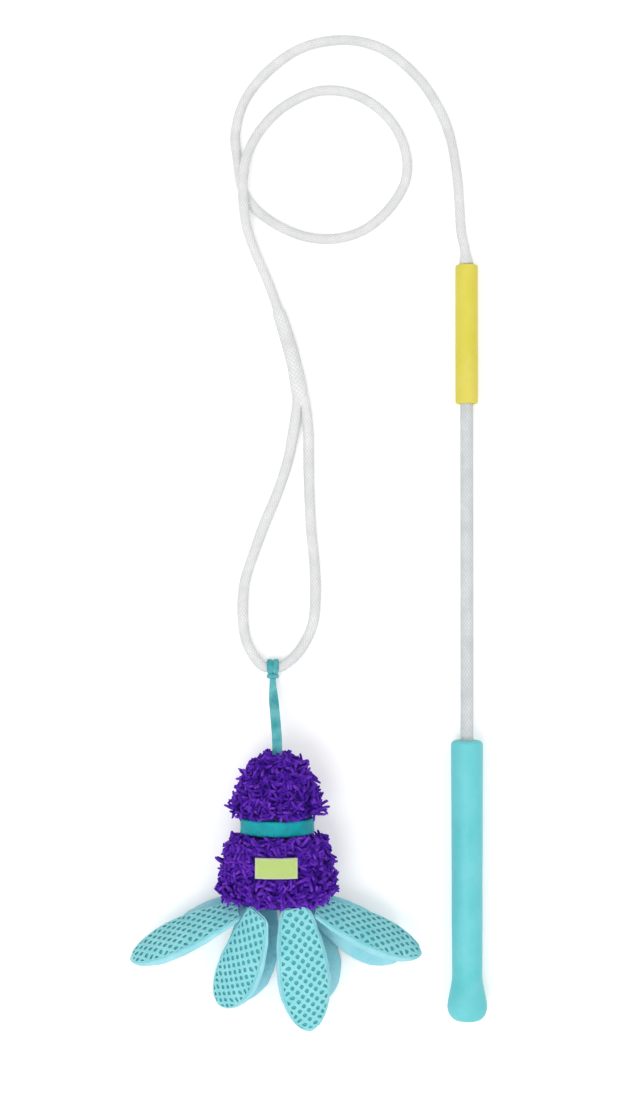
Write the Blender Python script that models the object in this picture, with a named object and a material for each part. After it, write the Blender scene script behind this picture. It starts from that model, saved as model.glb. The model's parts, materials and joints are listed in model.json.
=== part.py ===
"""Dog teaser wand: a gripped pole, a looped rope with a spliced eye, and a stuffed toy with eight petals.

It lies flat on its back on the floor, z = 0. The pole points along +Y, the toy's petals along -Y.
Run it with blender --background --python part.py, or from Blender's text editor. Metres, +Z up.
"""

import math

import bmesh
import bpy
from mathutils import Matrix, Vector

# Shared clearances
GAP = 0.0003
SKIN_LIFT = 0.0005

# Pole: the place of its tip on the floor plan, and its lengths along its own axis
POLE_TIP_X = 0.1065
POLE_TIP_Y = 0.2592
SLEEVE_LENGTH = 0.094
SLEEVE_RADIUS = 0.0076
SLEEVE_FILLET = 0.0016
SLEEVE_OVERHANG = 0.001
BARE_ROD_LENGTH = 0.2268
ROD_RADIUS = 0.003
BRAID_THICKNESS = 0.00105
CRIMP_LENGTH = 0.016
CRIMP_THICKNESS = 0.0012
CRIMP_SETBACK = 0.012

# Grip, from its butt to its mouth
GRIP_LENGTH = 0.188
GRIP_MOUTH_RADIUS = 0.01065
GRIP_WAIST_RADIUS = 0.01005
GRIP_WAIST_FROM_BUTT = 0.031
GRIP_MOUTH_FILLET = 0.003
GRIP_MOUTH_WALL = 0.005
BUTT_RADIUS = 0.0133
BUTT_WIDEST_FROM_END = 0.0095
BUTT_FLAT_RADIUS = 0.0065
CORE_TUBE_RADIUS = 0.0068
CORE_TUBE_FROM_BUTT = 0.014

# Rope, its buried splice and the eye that it makes
ROPE_RADIUS = 0.00325
NECK_LENGTH = 0.0095
NECK_RADIUS_AT_SLEEVE = 0.0047
SPLICE_LENGTH = 0.064
SPLICE_RADIUS = 0.0051
SPLICE_SHOULDER = 0.009
SPLICE_LATE_SHARE = 0.25
EYE_RADIUS = 0.0035
EYE_ROOT_RADIUS = 0.0024
EYE_ROOT_TAPER = 0.021
EYE_STRAIGHT_SHARE = 0.63
ROPE_STEP = 0.0135
EYE_STEP = 0.0115

# Strap: a ribbon hitched to the bottom of the eye and sewn into the top of the toy's head
HITCH_X = -0.0244
HITCH_Y = -0.0124
HITCH_Z = 0.0053
HITCH_WIDTH = 0.0082
HITCH_RIBBON = 0.0012
HITCH_CLEARANCE = 0.00045
HITCH_BAR_RADIUS = 0.0022
HITCH_BAR_LIFT = 0.0009
HITCH_VALLEY_SHARE = 0.45
STRAP_WIDTH = 0.0066
STRAP_THICKNESS = 0.0022
STRAP_REACH = 0.0563
STRAP_DRIFT = 0.0034
STRAP_TAIL = 0.0019
STRAP_CLIMB_START_SHARE = 0.05
STRAP_CLIMB_END_SHARE = 0.9
STRAP_STATIONS = 9

# Toy: lengths along its axis from the top of the head
HEAD_RADIUS = 0.029
HEAD_LENGTH = 0.041
HEAD_FLATNESS = 0.965
NECK_RADIUS = 0.0215
NECK_LENGTH_UNDER_BAND = 0.0122
BODY_RADIUS = 0.0375
BODY_LENGTH = 0.044
BODY_FLATNESS = 0.8
HEAD_ROUND_SHARE = 0.7
BODY_ROUND_SHARE = 0.35
BASE_RADIUS = 0.0285
COVER_THICKNESS = 0.002
BAND_THICKNESS = 0.003
PANEL_THICKNESS = 0.002
PANEL_CROWN = 0.0012
LABEL_WIDTH = 0.028
LABEL_HEIGHT = 0.0136
LABEL_THICKNESS = 0.0009
LABEL_FROM_TOP = 0.0712

# Squeaker inside the body's stuffing
SQUEAKER_RADIUS = 0.0118
SQUEAKER_LENGTH = 0.022
SQUEAKER_WALL = 0.0012
REED_RADIUS = 0.0038
REED_LENGTH = 0.009
REED_FLANGE_RADIUS = 0.0052

# Petals: one pattern, each with its own length
PETAL_HALF_WIDTH = 0.0165
PETAL_ROOT_HALF_WIDTH = 0.0062
PETAL_HALF_THICKNESS = 0.0047
PETAL_ROOT_HALF_THICKNESS = 0.0015
PETAL_SEAT_LEAN = 80.0
PETAL_SEAT_TURN = 0.4
PETAL_ROOT_REACH = 0.008
PETAL_WIDEST_SHARE = 0.56
NET_SHARE_OF_WIDTH = 0.87
NET_THICKNESS = 0.0008
NET_LIFT = 0.00035
NET_FIRST_SHARE = 0.09
NET_LAST_SHARE = 0.9
FLOOR_LIFT = 0.0001

# Name, degrees round the base from the front, heading and dip of its length in degrees,
# roll about its length in degrees, length and bend of its tip towards the floor.
# Headings count from straight down the photograph, to the right. No dip means that it lies on the floor.
PETALS = (
    ("petal_front_1", -69.0, -64.0, 10.5, 56.0, 0.0805, 0.000),
    ("petal_front_2", -29.0, -22.0, 27.0, 33.0, 0.083, 0.002),
    ("petal_front_3", 34.0, 6.0, 15.0, -12.0, 0.090, 0.004),
    ("petal_front_4", 67.0, 66.0, 13.0, -54.0, 0.078, 0.000),
    ("petal_rear_1", -124.0, -59.0, None, 56.0, 0.060, 0.000),
    ("petal_rear_2", -150.0, -9.0, None, 20.0, 0.071, 0.000),
    ("petal_rear_3", 153.0, 16.5, None, -12.0, 0.071, 0.000),
    ("petal_rear_4", 113.0, 53.0, None, 0.0, 0.072, 0.000),
)

# The rope from the sleeve's mouth, up and round its loop, to the end of the splice
ROPE_ROUTE = (
    (0.1065, 0.2595, 0.0076),
    (0.1054, 0.2700, 0.0066),
    (0.1030, 0.2830, 0.0046),
    (0.1020, 0.3010, 0.0034),
    (0.1002, 0.3220, 0.00335),
    (0.0956, 0.3470, 0.00335),
    (0.0870, 0.3680, 0.00335),
    (0.0725, 0.3885, 0.00335),
    (0.0500, 0.4063, 0.00335),
    (0.0240, 0.4124, 0.00335),
    (-0.0040, 0.4074, 0.00335),
    (-0.0270, 0.3920, 0.00335),
    (-0.0435, 0.3715, 0.00335),
    (-0.0499, 0.3490, 0.00335),
    (-0.0484, 0.3310, 0.00335),
    (-0.0460, 0.3145, 0.00335),
    (-0.0395, 0.3015, 0.00335),
    (-0.0250, 0.2890, 0.00335),
    (-0.0047, 0.2797, 0.00335),
    (0.0170, 0.2776, 0.00335),
    (0.0380, 0.2840, 0.00335),
    (0.0560, 0.3000, 0.00335),
    (0.0662, 0.3200, 0.00335),
    (0.0640, 0.3420, 0.00335),
    (0.0520, 0.3615, 0.00335),
    (0.0320, 0.3750, 0.00335),
    (0.0080, 0.3780, 0.00335),
    (-0.0149, 0.3686, 0.0036),
    (-0.0310, 0.3535, 0.0048),
    (-0.0408, 0.3360, 0.0078),
    (-0.0442, 0.3190, 0.0104),
    (-0.0444, 0.3030, 0.0106),
    (-0.0420, 0.2850, 0.0080),
    (-0.0360, 0.2675, 0.0048),
    (-0.0270, 0.2465, 0.0036),
    (-0.0190, 0.2235, 0.0048),
    (-0.0124, 0.2020, 0.0052),
    (-0.0084, 0.1850, 0.0052),
    (-0.0061, 0.1714, 0.0052),
)

# The eye from the splice's end, down its right leg, through the hitch and back up
EYE_ROUTE = (
    (-0.0034, 0.17145, 0.0052),
    (-0.0026, 0.1670, 0.0052),
    (-0.0014, 0.1575, 0.0043),
    (-0.0003, 0.1450, 0.0036),
    (-0.0002, 0.1320, 0.0036),
    (0.0002, 0.1080, 0.0036),
    (0.0014, 0.0820, 0.0036),
    (0.0037, 0.0570, 0.0036),
    (0.0044, 0.0367, 0.0036),
    (0.0029, 0.0177, 0.0036),
    (-0.0026, 0.0041, 0.0038),
    (-0.0096, -0.0056, 0.0046),
    (-0.0159, -0.0107, 0.0052),
    (-0.0192, -0.0124, 0.0053),
    (-0.0244, -0.0124, 0.0053),
    (-0.0296, -0.0124, 0.0053),
    (-0.0338, -0.0095, 0.0050),
    (-0.0398, -0.0010, 0.0040),
    (-0.0436, 0.0095, 0.0036),
    (-0.0449, 0.0258, 0.0036),
    (-0.0436, 0.0440, 0.0036),
    (-0.0382, 0.0620, 0.0036),
    (-0.0300, 0.0845, 0.0036),
    (-0.0215, 0.1050, 0.0036),
    (-0.0146, 0.1260, 0.0036),
    (-0.0112, 0.1430, 0.0036),
    (-0.0092, 0.1560, 0.0043),
    (-0.0082, 0.1660, 0.0052),
    (-0.0087, 0.17045, 0.0052),
)

# Places worked out from the sizes
BRAID_RADIUS = ROD_RADIUS + GAP + BRAID_THICKNESS
CRIMP_RADIUS = BRAID_RADIUS + GAP + CRIMP_THICKNESS
CROWN_HOLE_RADIUS = STRAP_WIDTH / 2 + 2 * GAP
POLE_LENGTH = SLEEVE_LENGTH + BARE_ROD_LENGTH + GRIP_LENGTH
POLE_TILT = math.asin((BUTT_RADIUS - SLEEVE_RADIUS) / (POLE_LENGTH - BUTT_WIDEST_FROM_END))
GRIP_MOUTH = GRIP_LENGTH
SLEEVE_START = GRIP_LENGTH + BARE_ROD_LENGTH
SEAM = HEAD_LENGTH + NECK_LENGTH_UNDER_BAND / 2
BODY_START = HEAD_LENGTH + NECK_LENGTH_UNDER_BAND
BASE = BODY_START + BODY_LENGTH
PANEL_START = BASE + GAP
PANEL_RIM = PANEL_START + PANEL_THICKNESS / 2
TOY_AXIS_HEIGHT = BODY_RADIUS * BODY_FLATNESS
TOY_TOP_Y = HITCH_Y - STRAP_REACH
TOY_X = HITCH_X + STRAP_DRIFT

# Shares of length and radius that a dome's or a belly's outline passes through
HEAD_OUTLINE = (
    (0.02, 0.30),
    (0.08, 0.475),
    (0.19, 0.655),
    (0.34, 0.785),
    (0.50, 0.875),
    (0.67, 0.955),
    (0.83, 1.0),
    (0.935, 0.972),
    (0.985, 0.87),
)
BODY_OUTLINE = (
    (0.015, 0.67),
    (0.05, 0.78),
    (0.135, 0.865),
    (0.30, 0.93),
    (0.50, 0.968),
    (0.70, 1.0),
    (0.83, 0.992),
    (0.92, 0.935),
    (0.975, 0.855),
)


def clear_objects():
    for thing in list(bpy.data.objects):
        bpy.data.objects.remove(thing, do_unlink=True)


def material(name, color, roughness, metallic=0.0):
    made = bpy.data.materials.new(name)
    made.use_nodes = True
    made.diffuse_color = (*color, 1.0)
    shader = made.node_tree.nodes["Principled BSDF"]
    shader.inputs["Base Color"].default_value = (*color, 1.0)
    shader.inputs["Roughness"].default_value = roughness
    shader.inputs["Metallic"].default_value = metallic
    return made


def empty(name, location, parent=None, turn=None):
    made = bpy.data.objects.new(name, None)
    bpy.context.scene.collection.objects.link(made)
    made.parent = parent
    made.matrix_local = Matrix.LocRotScale(location, turn, None)
    return made


def put(name, bm, finish, parent=None, sharp=40.0):
    """Turns a bmesh into a smooth-shaded object under its parent."""
    bmesh.ops.recalc_face_normals(bm, faces=bm.faces)
    mesh = bpy.data.meshes.new(name)
    bm.to_mesh(mesh)
    bm.free()
    mesh.shade_smooth()
    mesh.set_sharp_from_angle(angle=math.radians(sharp))
    mesh.materials.append(finish)
    made = bpy.data.objects.new(name, mesh)
    bpy.context.scene.collection.objects.link(made)
    made.parent = parent
    return made


def turned(profile, sides, closed=False):
    """A bmesh of a profile of (along, radius) pairs, spun about the Y axis."""
    bm = bmesh.new()
    points = [bm.verts.new((radius, along, 0.0)) for along, radius in profile]
    edges = [bm.edges.new(pair) for pair in zip(points, points[1:])]
    if closed:
        edges.append(bm.edges.new((points[-1], points[0])))
    bmesh.ops.spin(
        bm,
        geom=points + edges,
        cent=(0.0, 0.0, 0.0),
        axis=(0.0, 1.0, 0.0),
        angle=math.tau,
        steps=sides,
        use_merge=True,
    )
    bmesh.ops.remove_doubles(bm, verts=bm.verts, dist=1e-6)
    return bm


def tube(start, end, inner, outer, sides):
    profile = ((start, inner), (start, outer), (end, outer), (end, inner))
    return turned(profile, sides, closed=True)


def rod(start, end, radius, sides):
    return turned(((start, 0.0), (start, radius), (end, radius), (end, 0.0)), sides)


def fillet(center, radius, first, last, steps):
    """Points (along, radius) on an arc, from one angle to another in degrees; 0 points along."""
    along, out = center
    turns = [math.radians(first + (last - first) * i / steps) for i in range(steps + 1)]
    return [(along + radius * math.cos(a), out + radius * math.sin(a)) for a in turns]


def catmull(points, steps):
    """A smooth line through points of any dimension, with some steps in each span."""
    ends = [2 * points[0] - points[1]] + points + [2 * points[-1] - points[-2]]
    line = []
    for a, b, c, d in zip(ends, ends[1:], ends[2:], ends[3:]):
        for i in range(steps):
            t = i / steps
            line.append(
                b
                + 0.5 * t * (c - a)
                + t * t * (a - 2.5 * b + 2 * c - 0.5 * d)
                + t**3 * (1.5 * (b - c) + 0.5 * (d - a))
            )
    return line + [points[-1]]


def inset(profile, depth):
    """An open profile moved inwards by a depth, each corner mitred; outwards is to its left."""
    points = [Vector(p) for p in profile]
    moved = []
    for i, here in enumerate(points):
        before = (here - points[i - 1]).normalized() if i else None
        after = (points[i + 1] - here).normalized() if i + 1 < len(points) else None
        before = before or after
        after = after or before
        first = Vector((before.y, -before.x))
        second = Vector((after.y, -after.x))
        corner = (first + second) / (1.0 + first.dot(second))
        moved.append(tuple(here + corner * depth))
    return moved


def lofted(stations, sides):
    """A bmesh through rings; each station's matrix carries a unit circle to its place."""
    bm = bmesh.new()
    rings = []
    last = len(stations) - 1
    for i, station in enumerate(stations):
        made = bmesh.ops.create_circle(
            bm, cap_ends=i in (0, last), segments=sides, radius=1.0, matrix=station
        )
        ring = set(made["verts"])
        rings.append([e for e in bm.edges if e.verts[0] in ring and e.verts[1] in ring])
    for here, there in zip(rings, rings[1:]):
        bmesh.ops.bridge_loops(bm, edges=here + there)
    return bm


class Route:
    """A smooth line through hand-chosen points, read by its length from the start."""

    def __init__(self, points):
        self.line = catmull([Vector(p) for p in points], 12)
        self.reach = [0.0]
        for here, there in zip(self.line, self.line[1:]):
            self.reach.append(self.reach[-1] + (there - here).length)
        self.length = self.reach[-1]

    def at(self, along):
        for i in range(len(self.line) - 1):
            if along <= self.reach[i + 1]:
                share = (along - self.reach[i]) / (self.reach[i + 1] - self.reach[i])
                return self.line[i].lerp(self.line[i + 1], share)
        return self.line[-1]

    def nearest(self, place):
        index = min(range(len(self.line)), key=lambda i: (self.line[i] - place).length)
        return self.reach[index]

    def stretch(self, start, end, step):
        count = max(2, round((end - start) / step))
        return [start + (end - start) * i / count for i in range(count + 1)]


def cord(name, route, reaches, radius_at, resolution, finish):
    """A tube with filled ends along a route, of the radius that each reach has."""
    curve = bpy.data.curves.new(name, "CURVE")
    curve.dimensions = "3D"
    curve.bevel_depth = 1.0
    curve.bevel_resolution = resolution
    curve.use_fill_caps = True
    curve.resolution_u = 1
    line = curve.splines.new("POLY")
    line.points.add(len(reaches) - 1)
    for point, along in zip(line.points, reaches):
        point.co = (*route.at(along), 1.0)
        point.radius = radius_at(along)
    curve.materials.append(finish)
    made = bpy.data.objects.new(name, curve)
    bpy.context.scene.collection.objects.link(made)
    return made


def least_gap(route, reaches, radius_at):
    """The least distance from a cord's surface to itself, between points four diameters or more apart."""
    fine = []
    for here, there in zip(reaches, reaches[1:]):
        for i in range(6):
            place = route.at(here).lerp(route.at(there), i / 6)
            along = here + (there - here) * i / 6
            fine.append((place, along, radius_at(along)))
    least = 1.0
    for i, (here, along, radius) in enumerate(fine):
        for there, further, other in fine[i + 1 :]:
            if further - along > 8 * radius:
                least = min(least, (there - here).length - radius - other)
    return least


def smoothstep(low, high, value):
    t = min(1.0, max(0.0, (value - low) / (high - low)))
    return t * t * (3.0 - 2.0 * t)


def make_grip(pole, finish):
    """The rubber handle: a flat butt end, a flare, a slim waist and a rounded mouth."""
    widest = BUTT_WIDEST_FROM_END
    round_end = [
        (
            widest * (1.0 - math.cos(math.radians(a))),
            BUTT_FLAT_RADIUS + (BUTT_RADIUS - BUTT_FLAT_RADIUS) * math.sin(math.radians(a)),
        )
        for a in (0, 15, 32, 50, 70, 90)
    ]
    flare = []
    for share in (0.2, 0.4, 0.6, 0.8, 1.0):
        along = widest + (GRIP_WAIST_FROM_BUTT - widest) * share
        drop = smoothstep(0.0, 1.0, share**0.85)
        flare.append((along, BUTT_RADIUS + (GRIP_WAIST_RADIUS - BUTT_RADIUS) * drop))
    corner = (GRIP_MOUTH - GRIP_MOUTH_FILLET, GRIP_MOUTH_RADIUS - GRIP_MOUTH_FILLET)
    mouth = fillet(corner, GRIP_MOUTH_FILLET, 90, 0, 4)
    bore = BRAID_RADIUS + GAP
    socket = CORE_TUBE_RADIUS + GAP
    inside = [
        (GRIP_MOUTH, bore),
        (GRIP_MOUTH - GRIP_MOUTH_WALL, bore),
        (GRIP_MOUTH - GRIP_MOUTH_WALL, socket),
        (CORE_TUBE_FROM_BUTT - GAP, socket),
        (CORE_TUBE_FROM_BUTT - GAP, 0.0),
    ]
    profile = [(0.0, 0.0)] + round_end + flare + mouth + inside
    return put("grip", turned(profile, 32), finish, pole)


def make_grip_core(pole, finish):
    """The hard tube inside the rubber that the braided rod is glued into."""
    start = CORE_TUBE_FROM_BUTT
    end = GRIP_MOUTH - GRIP_MOUTH_WALL - GAP
    return put("grip_core", tube(start, end, BRAID_RADIUS + GAP, CORE_TUBE_RADIUS, 24), finish, pole)


def make_rod(pole, finish):
    start = CORE_TUBE_FROM_BUTT + SLEEVE_OVERHANG
    end = POLE_LENGTH - 2 * SLEEVE_OVERHANG
    return put("core_rod", rod(start, end, ROD_RADIUS, 16), finish, pole)


def make_braid(pole, finish):
    """The woven cover of the rod, from inside the grip to the sleeve's mouth."""
    start = CORE_TUBE_FROM_BUTT + SLEEVE_OVERHANG
    end = POLE_LENGTH - SLEEVE_OVERHANG
    return put("rod_braid", tube(start, end, ROD_RADIUS + GAP, BRAID_RADIUS, 24), finish, pole)


def make_crimp(pole, finish):
    """The ring pressed over the braid at the rod's tip, under the sleeve."""
    end = POLE_LENGTH - CRIMP_SETBACK
    start = end - CRIMP_LENGTH
    return put("tip_crimp", tube(start, end, BRAID_RADIUS + GAP, CRIMP_RADIUS, 24), finish, pole)


def make_sleeve(pole, finish):
    """The soft sleeve over the rod's tip, hollowed round the crimp."""
    start, end = SLEEVE_START, POLE_LENGTH
    low = (start + SLEEVE_FILLET, SLEEVE_RADIUS - SLEEVE_FILLET)
    high = (end - SLEEVE_FILLET, SLEEVE_RADIUS - SLEEVE_FILLET)
    bore = BRAID_RADIUS + GAP
    room = CRIMP_RADIUS + GAP
    crimp_end = end - CRIMP_SETBACK + GAP
    crimp_start = crimp_end - CRIMP_LENGTH - 2 * GAP
    outside = fillet(low, SLEEVE_FILLET, 180, 90, 4) + fillet(high, SLEEVE_FILLET, 90, 0, 4)
    inside = [(end, bore), (crimp_end, bore), (crimp_end, room)]
    inside += [(crimp_start, room), (crimp_start, bore), (start, bore)]
    return put("tip_sleeve", turned(outside + inside, 32, closed=True), finish, pole)


def make_pole(rubber, sleeve, fibre, braid, plastic, metal):
    """The pole lies on its butt's flare and on its sleeve, so its axis falls towards the tip."""
    tip = Vector((POLE_TIP_X, POLE_TIP_Y, SLEEVE_RADIUS))
    along = Vector((0.0, math.cos(POLE_TILT), -math.sin(POLE_TILT)))
    lift = Vector((0.0, 0.0, SLEEVE_RADIUS * (1.0 / math.cos(POLE_TILT) - 1.0)))
    tilt = Matrix.Rotation(-POLE_TILT, 3, "X").to_quaternion()
    pole = empty("pole_butt", tip + lift - along * POLE_LENGTH, turn=tilt)
    make_grip(pole, rubber)
    make_grip_core(pole, plastic)
    make_rod(pole, fibre)
    make_braid(pole, braid)
    make_crimp(pole, metal)
    make_sleeve(pole, sleeve)
    return pole


def rope_radius(along, splice_start):
    """The braid flares over the rod's tip, runs level, and swells over the buried tail."""
    flare = 1.0 - smoothstep(0.0, NECK_LENGTH, along)
    swell = smoothstep(0.0, 1.0, (along - splice_start) / SPLICE_SHOULDER)
    level = ROPE_RADIUS + (NECK_RADIUS_AT_SLEEVE - ROPE_RADIUS) * flare
    early = (SPLICE_RADIUS - ROPE_RADIUS) * (1.0 - SPLICE_LATE_SHARE) * swell
    return level + early + late_swell(along, splice_start)


def late_swell(along, splice_start):
    """The rest of the splice's thickness comes slowly, over its whole length."""
    share = smoothstep(0.0, 1.0, (along - splice_start) / SPLICE_LENGTH)
    return (SPLICE_RADIUS - ROPE_RADIUS) * SPLICE_LATE_SHARE * share


def make_rope(finish):
    route = Route(ROPE_ROUTE)
    splice_start = route.length - SPLICE_LENGTH

    def radius_at(along):
        return rope_radius(along, splice_start)

    neck = route.stretch(0.0, NECK_LENGTH, NECK_LENGTH / 4)
    cord("rope_neck", route, neck, radius_at, 3, finish)
    free = route.stretch(NECK_LENGTH + GAP, splice_start - GAP, ROPE_STEP)
    cord("rope", route, free, radius_at, 3, finish)
    splice = route.stretch(splice_start, route.length, ROPE_STEP / 2)
    cord("rope_splice", route, splice, radius_at, 4, finish)
    print("rope, free stretch, m:", round(free[-1] - free[0], 4), "points:", len(free))
    print("rope with neck and splice, m:", round(route.length, 4))
    print("rope's least gap to itself, mm:", round(1000 * least_gap(route, free, radius_at), 3))


def make_eye(finish):
    """Both legs leave the splice's end face slim and reach the rope's own thickness soon after."""
    route = Route(EYE_ROUTE)

    def radius_at(along):
        inwards = min(along, route.length - along)
        return EYE_ROOT_RADIUS + (EYE_RADIUS - EYE_ROOT_RADIUS) * smoothstep(0.0, EYE_ROOT_TAPER, inwards)

    bottom = route.nearest(Vector((HITCH_X, HITCH_Y, HITCH_Z)))
    straight = HITCH_WIDTH * EYE_STRAIGHT_SHARE
    root = EYE_ROOT_TAPER
    reaches = route.stretch(0.0, root, root / 4)
    reaches += route.stretch(root, bottom - straight, EYE_STEP)[1:]
    reaches += route.stretch(bottom + straight, route.length - root, EYE_STEP)
    reaches += route.stretch(route.length - root, route.length, root / 4)[1:]
    cord("rope_eye", route, reaches, radius_at, 3, finish)
    print("rope eye, m:", round(route.length, 4), "points:", len(reaches))
    print("eye's least gap to itself, mm:", round(1000 * least_gap(route, reaches, radius_at), 3))


def make_hitch(strap, finish):
    """Two turns of ribbon side by side round the rope, and the turn that crosses below them."""
    bore = EYE_RADIUS + HITCH_CLEARANCE
    crest = bore + HITCH_RIBBON
    valley = bore + HITCH_RIBBON * HITCH_VALLEY_SHARE
    half = HITCH_WIDTH / 2
    outline = [(-half, valley), (-half * 0.86, crest), (-half * 0.25, crest), (0.0, valley)]
    outline += [(half * 0.25, crest), (half * 0.86, crest), (half, valley)]
    profile = outline + [(half, bore), (-half, bore)]
    bm = turned(profile, 20, closed=True)
    bmesh.ops.rotate(bm, verts=bm.verts, matrix=Matrix.Rotation(math.pi / 2, 3, "Z"))
    hitch = put("strap_hitch", bm, finish, strap)

    bar_end = HITCH_BAR_RADIUS * 0.7
    bar = [(-half, 0.0), (-half, bar_end), (-half * 0.8, HITCH_BAR_RADIUS)]
    bar += [(half * 0.8, HITCH_BAR_RADIUS), (half, bar_end), (half, 0.0)]
    bm = turned(bar, 12)
    bmesh.ops.rotate(bm, verts=bm.verts, matrix=Matrix.Rotation(math.pi / 2, 3, "Z"))
    reach = crest + HITCH_BAR_RADIUS * 0.55
    bmesh.ops.translate(bm, verts=bm.verts, vec=(0.0, -reach, HITCH_BAR_LIFT))
    cutter = put("strap_hitch_bar", bm, finish, strap)
    cutter.hide_render = True
    cutter.display_type = "WIRE"
    join = hitch.modifiers.new("bar", "BOOLEAN")
    join.operation = "UNION"
    join.object = cutter
    return reach + HITCH_BAR_RADIUS + GAP


def make_ribbon(strap, start, finish):
    """The doubled ribbon: it leaves the hitch near the floor and climbs to the crown of the head."""
    low = Vector((0.0, -start, HITCH_BAR_LIFT))
    high = Vector((STRAP_DRIFT, -STRAP_REACH - STRAP_TAIL, TOY_AXIS_HEIGHT - HITCH_Z))
    shares = [i / STRAP_STATIONS for i in range(STRAP_STATIONS + 1)]
    line = []
    for share in shares:
        climb = smoothstep(STRAP_CLIMB_START_SHARE, STRAP_CLIMB_END_SHARE, share)
        line.append(
            Vector(
                (
                    low.x + (high.x - low.x) * climb,
                    low.y + (high.y - low.y) * share,
                    low.z + (high.z - low.z) * climb,
                )
            )
        )
    stations = []
    for i, here in enumerate(line):
        ahead = (line[min(i + 1, STRAP_STATIONS)] - line[max(i - 1, 0)]).normalized()
        across = Vector((1.0, 0.0, 0.0))
        up = ahead.cross(across).normalized()
        across = up.cross(ahead)
        turn = Matrix((across, up, ahead)).transposed()
        size = (STRAP_WIDTH / 2, STRAP_THICKNESS / 2, 1.0)
        stations.append(Matrix.LocRotScale(here, turn.to_quaternion(), size))
    return put("strap_ribbon", lofted(stations, 10), finish, strap)


def flatness(along):
    """The toy's height over its width, at a distance from the top of the head."""
    share = smoothstep(HEAD_LENGTH * HEAD_ROUND_SHARE, BODY_START + BODY_LENGTH * BODY_ROUND_SHARE, along)
    return HEAD_FLATNESS + (BODY_FLATNESS - HEAD_FLATNESS) * share


def toy_turned(profile, sides, closed=False):
    """A toy's turned piece: the profile runs down from the crown, and lying down flattens it."""
    bm = turned([(-along, radius) for along, radius in profile], sides, closed)
    for vert in bm.verts:
        vert.co.z *= flatness(-vert.co.y)
    return bm


def head_profile():
    dome = [(HEAD_LENGTH * along, HEAD_RADIUS * out) for along, out in HEAD_OUTLINE]
    neck = [(HEAD_LENGTH + GAP, NECK_RADIUS), (SEAM - GAP / 2, NECK_RADIUS)]
    return [(0.0, CROWN_HOLE_RADIUS)] + dome + neck


def body_profile():
    belly = [(BODY_START + BODY_LENGTH * along, BODY_RADIUS * out) for along, out in BODY_OUTLINE]
    neck = [(SEAM + GAP / 2, NECK_RADIUS), (BODY_START - GAP, NECK_RADIUS)]
    return neck + belly + [(BASE, BASE_RADIUS)]


def shell_of(profile):
    """The closed outline of a cover: its outside, and its inside a cover's thickness further in."""
    inner = inset(profile, COVER_THICKNESS)
    inner[0] = (profile[0][0], inner[0][1])
    inner[-1] = (profile[-1][0], inner[-1][1])
    return profile + inner[::-1]


def make_covers(toy, finish):
    crown = [(0.0, CROWN_HOLE_RADIUS), (COVER_THICKNESS, CROWN_HOLE_RADIUS)]
    outside = head_profile()
    inner = inset(outside, COVER_THICKNESS)[2:]
    inner[-1] = (outside[-1][0], inner[-1][1])
    loop = outside + inner[::-1] + [crown[1]]
    put("head_cover", toy_turned(loop, 24, closed=True), finish, toy)
    put("body_cover", toy_turned(shell_of(body_profile()), 28, closed=True), finish, toy)


def make_stuffing(toy, finish):
    """Filling inside each cover; the body's has a pocket for the squeaker, open to the base."""
    depth = COVER_THICKNESS + GAP
    head = inset(head_profile(), depth)[3:]
    head[-1] = (SEAM - GAP, head[-1][1])
    top = head[0][0]
    profile = [(top, 0.0)] + head + [(SEAM - GAP, 0.0)]
    put("head_stuffing", toy_turned(profile, 24), finish, toy)

    body = inset(body_profile(), depth)
    body[0] = (SEAM + GAP, body[0][1])
    body[-1] = (BASE, body[-1][1])
    pocket = (SQUEAKER_RADIUS + GAP) / BODY_FLATNESS
    floor = BASE - SQUEAKER_LENGTH - REED_LENGTH - GAP
    profile = [(SEAM + GAP, 0.0)] + body + [(BASE, pocket), (floor, pocket), (floor, 0.0)]
    put("body_stuffing", toy_turned(profile, 28), finish, toy)


def make_squeaker(toy, finish, reed_finish):
    """A blown bulb with a mouth, and the reed plugged into it."""
    start = BASE - SQUEAKER_LENGTH - REED_LENGTH
    middle = start + SQUEAKER_LENGTH / 2
    mouth = REED_RADIUS + GAP
    last = 180.0 - math.degrees(math.asin(mouth / SQUEAKER_RADIUS))
    outside = []
    inside = []
    steps = 9
    for i in range(steps + 1):
        angle = math.radians(last * i / steps)
        half = SQUEAKER_LENGTH / 2
        outside.append((middle - half * math.cos(angle), SQUEAKER_RADIUS * math.sin(angle)))
        inner = SQUEAKER_RADIUS - SQUEAKER_WALL
        inside.append((middle - (half - SQUEAKER_WALL) * math.cos(angle), inner * math.sin(angle)))
    inside[-1] = (inside[-1][0], max(inside[-1][1], mouth))
    outside[-1] = (outside[-1][0], max(outside[-1][1], mouth + SQUEAKER_WALL / 2))
    profile = [(-a, r) for a, r in outside + inside[::-1]]
    put("squeaker_bulb", turned(profile, 16), finish, toy)

    top = outside[-1][0] + GAP
    reed = [(top - REED_LENGTH / 2, 0.0), (top - REED_LENGTH / 2, REED_RADIUS), (top, REED_RADIUS)]
    reed += [(top, REED_FLANGE_RADIUS), (BASE - GAP, REED_FLANGE_RADIUS * 0.8), (BASE - GAP, 0.0)]
    put("squeaker_reed", turned([(-a, r) for a, r in reed], 16), reed_finish, toy)


def make_band(toy, finish):
    """The band that cinches the neck, in the groove between head and body."""
    start = HEAD_LENGTH + 2 * GAP
    end = BODY_START - 2 * GAP
    inner = NECK_RADIUS + GAP
    outer = inner + BAND_THICKNESS
    edge = BAND_THICKNESS * 0.3
    middle = (start + end) / 2
    profile = [(start, inner), (start, outer - edge), (start + edge, outer)]
    profile += [(middle, outer - edge / 2), (end - edge, outer), (end, outer - edge), (end, inner)]
    put("neck_band", toy_turned(profile, 24, closed=True), finish, toy)


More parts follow.
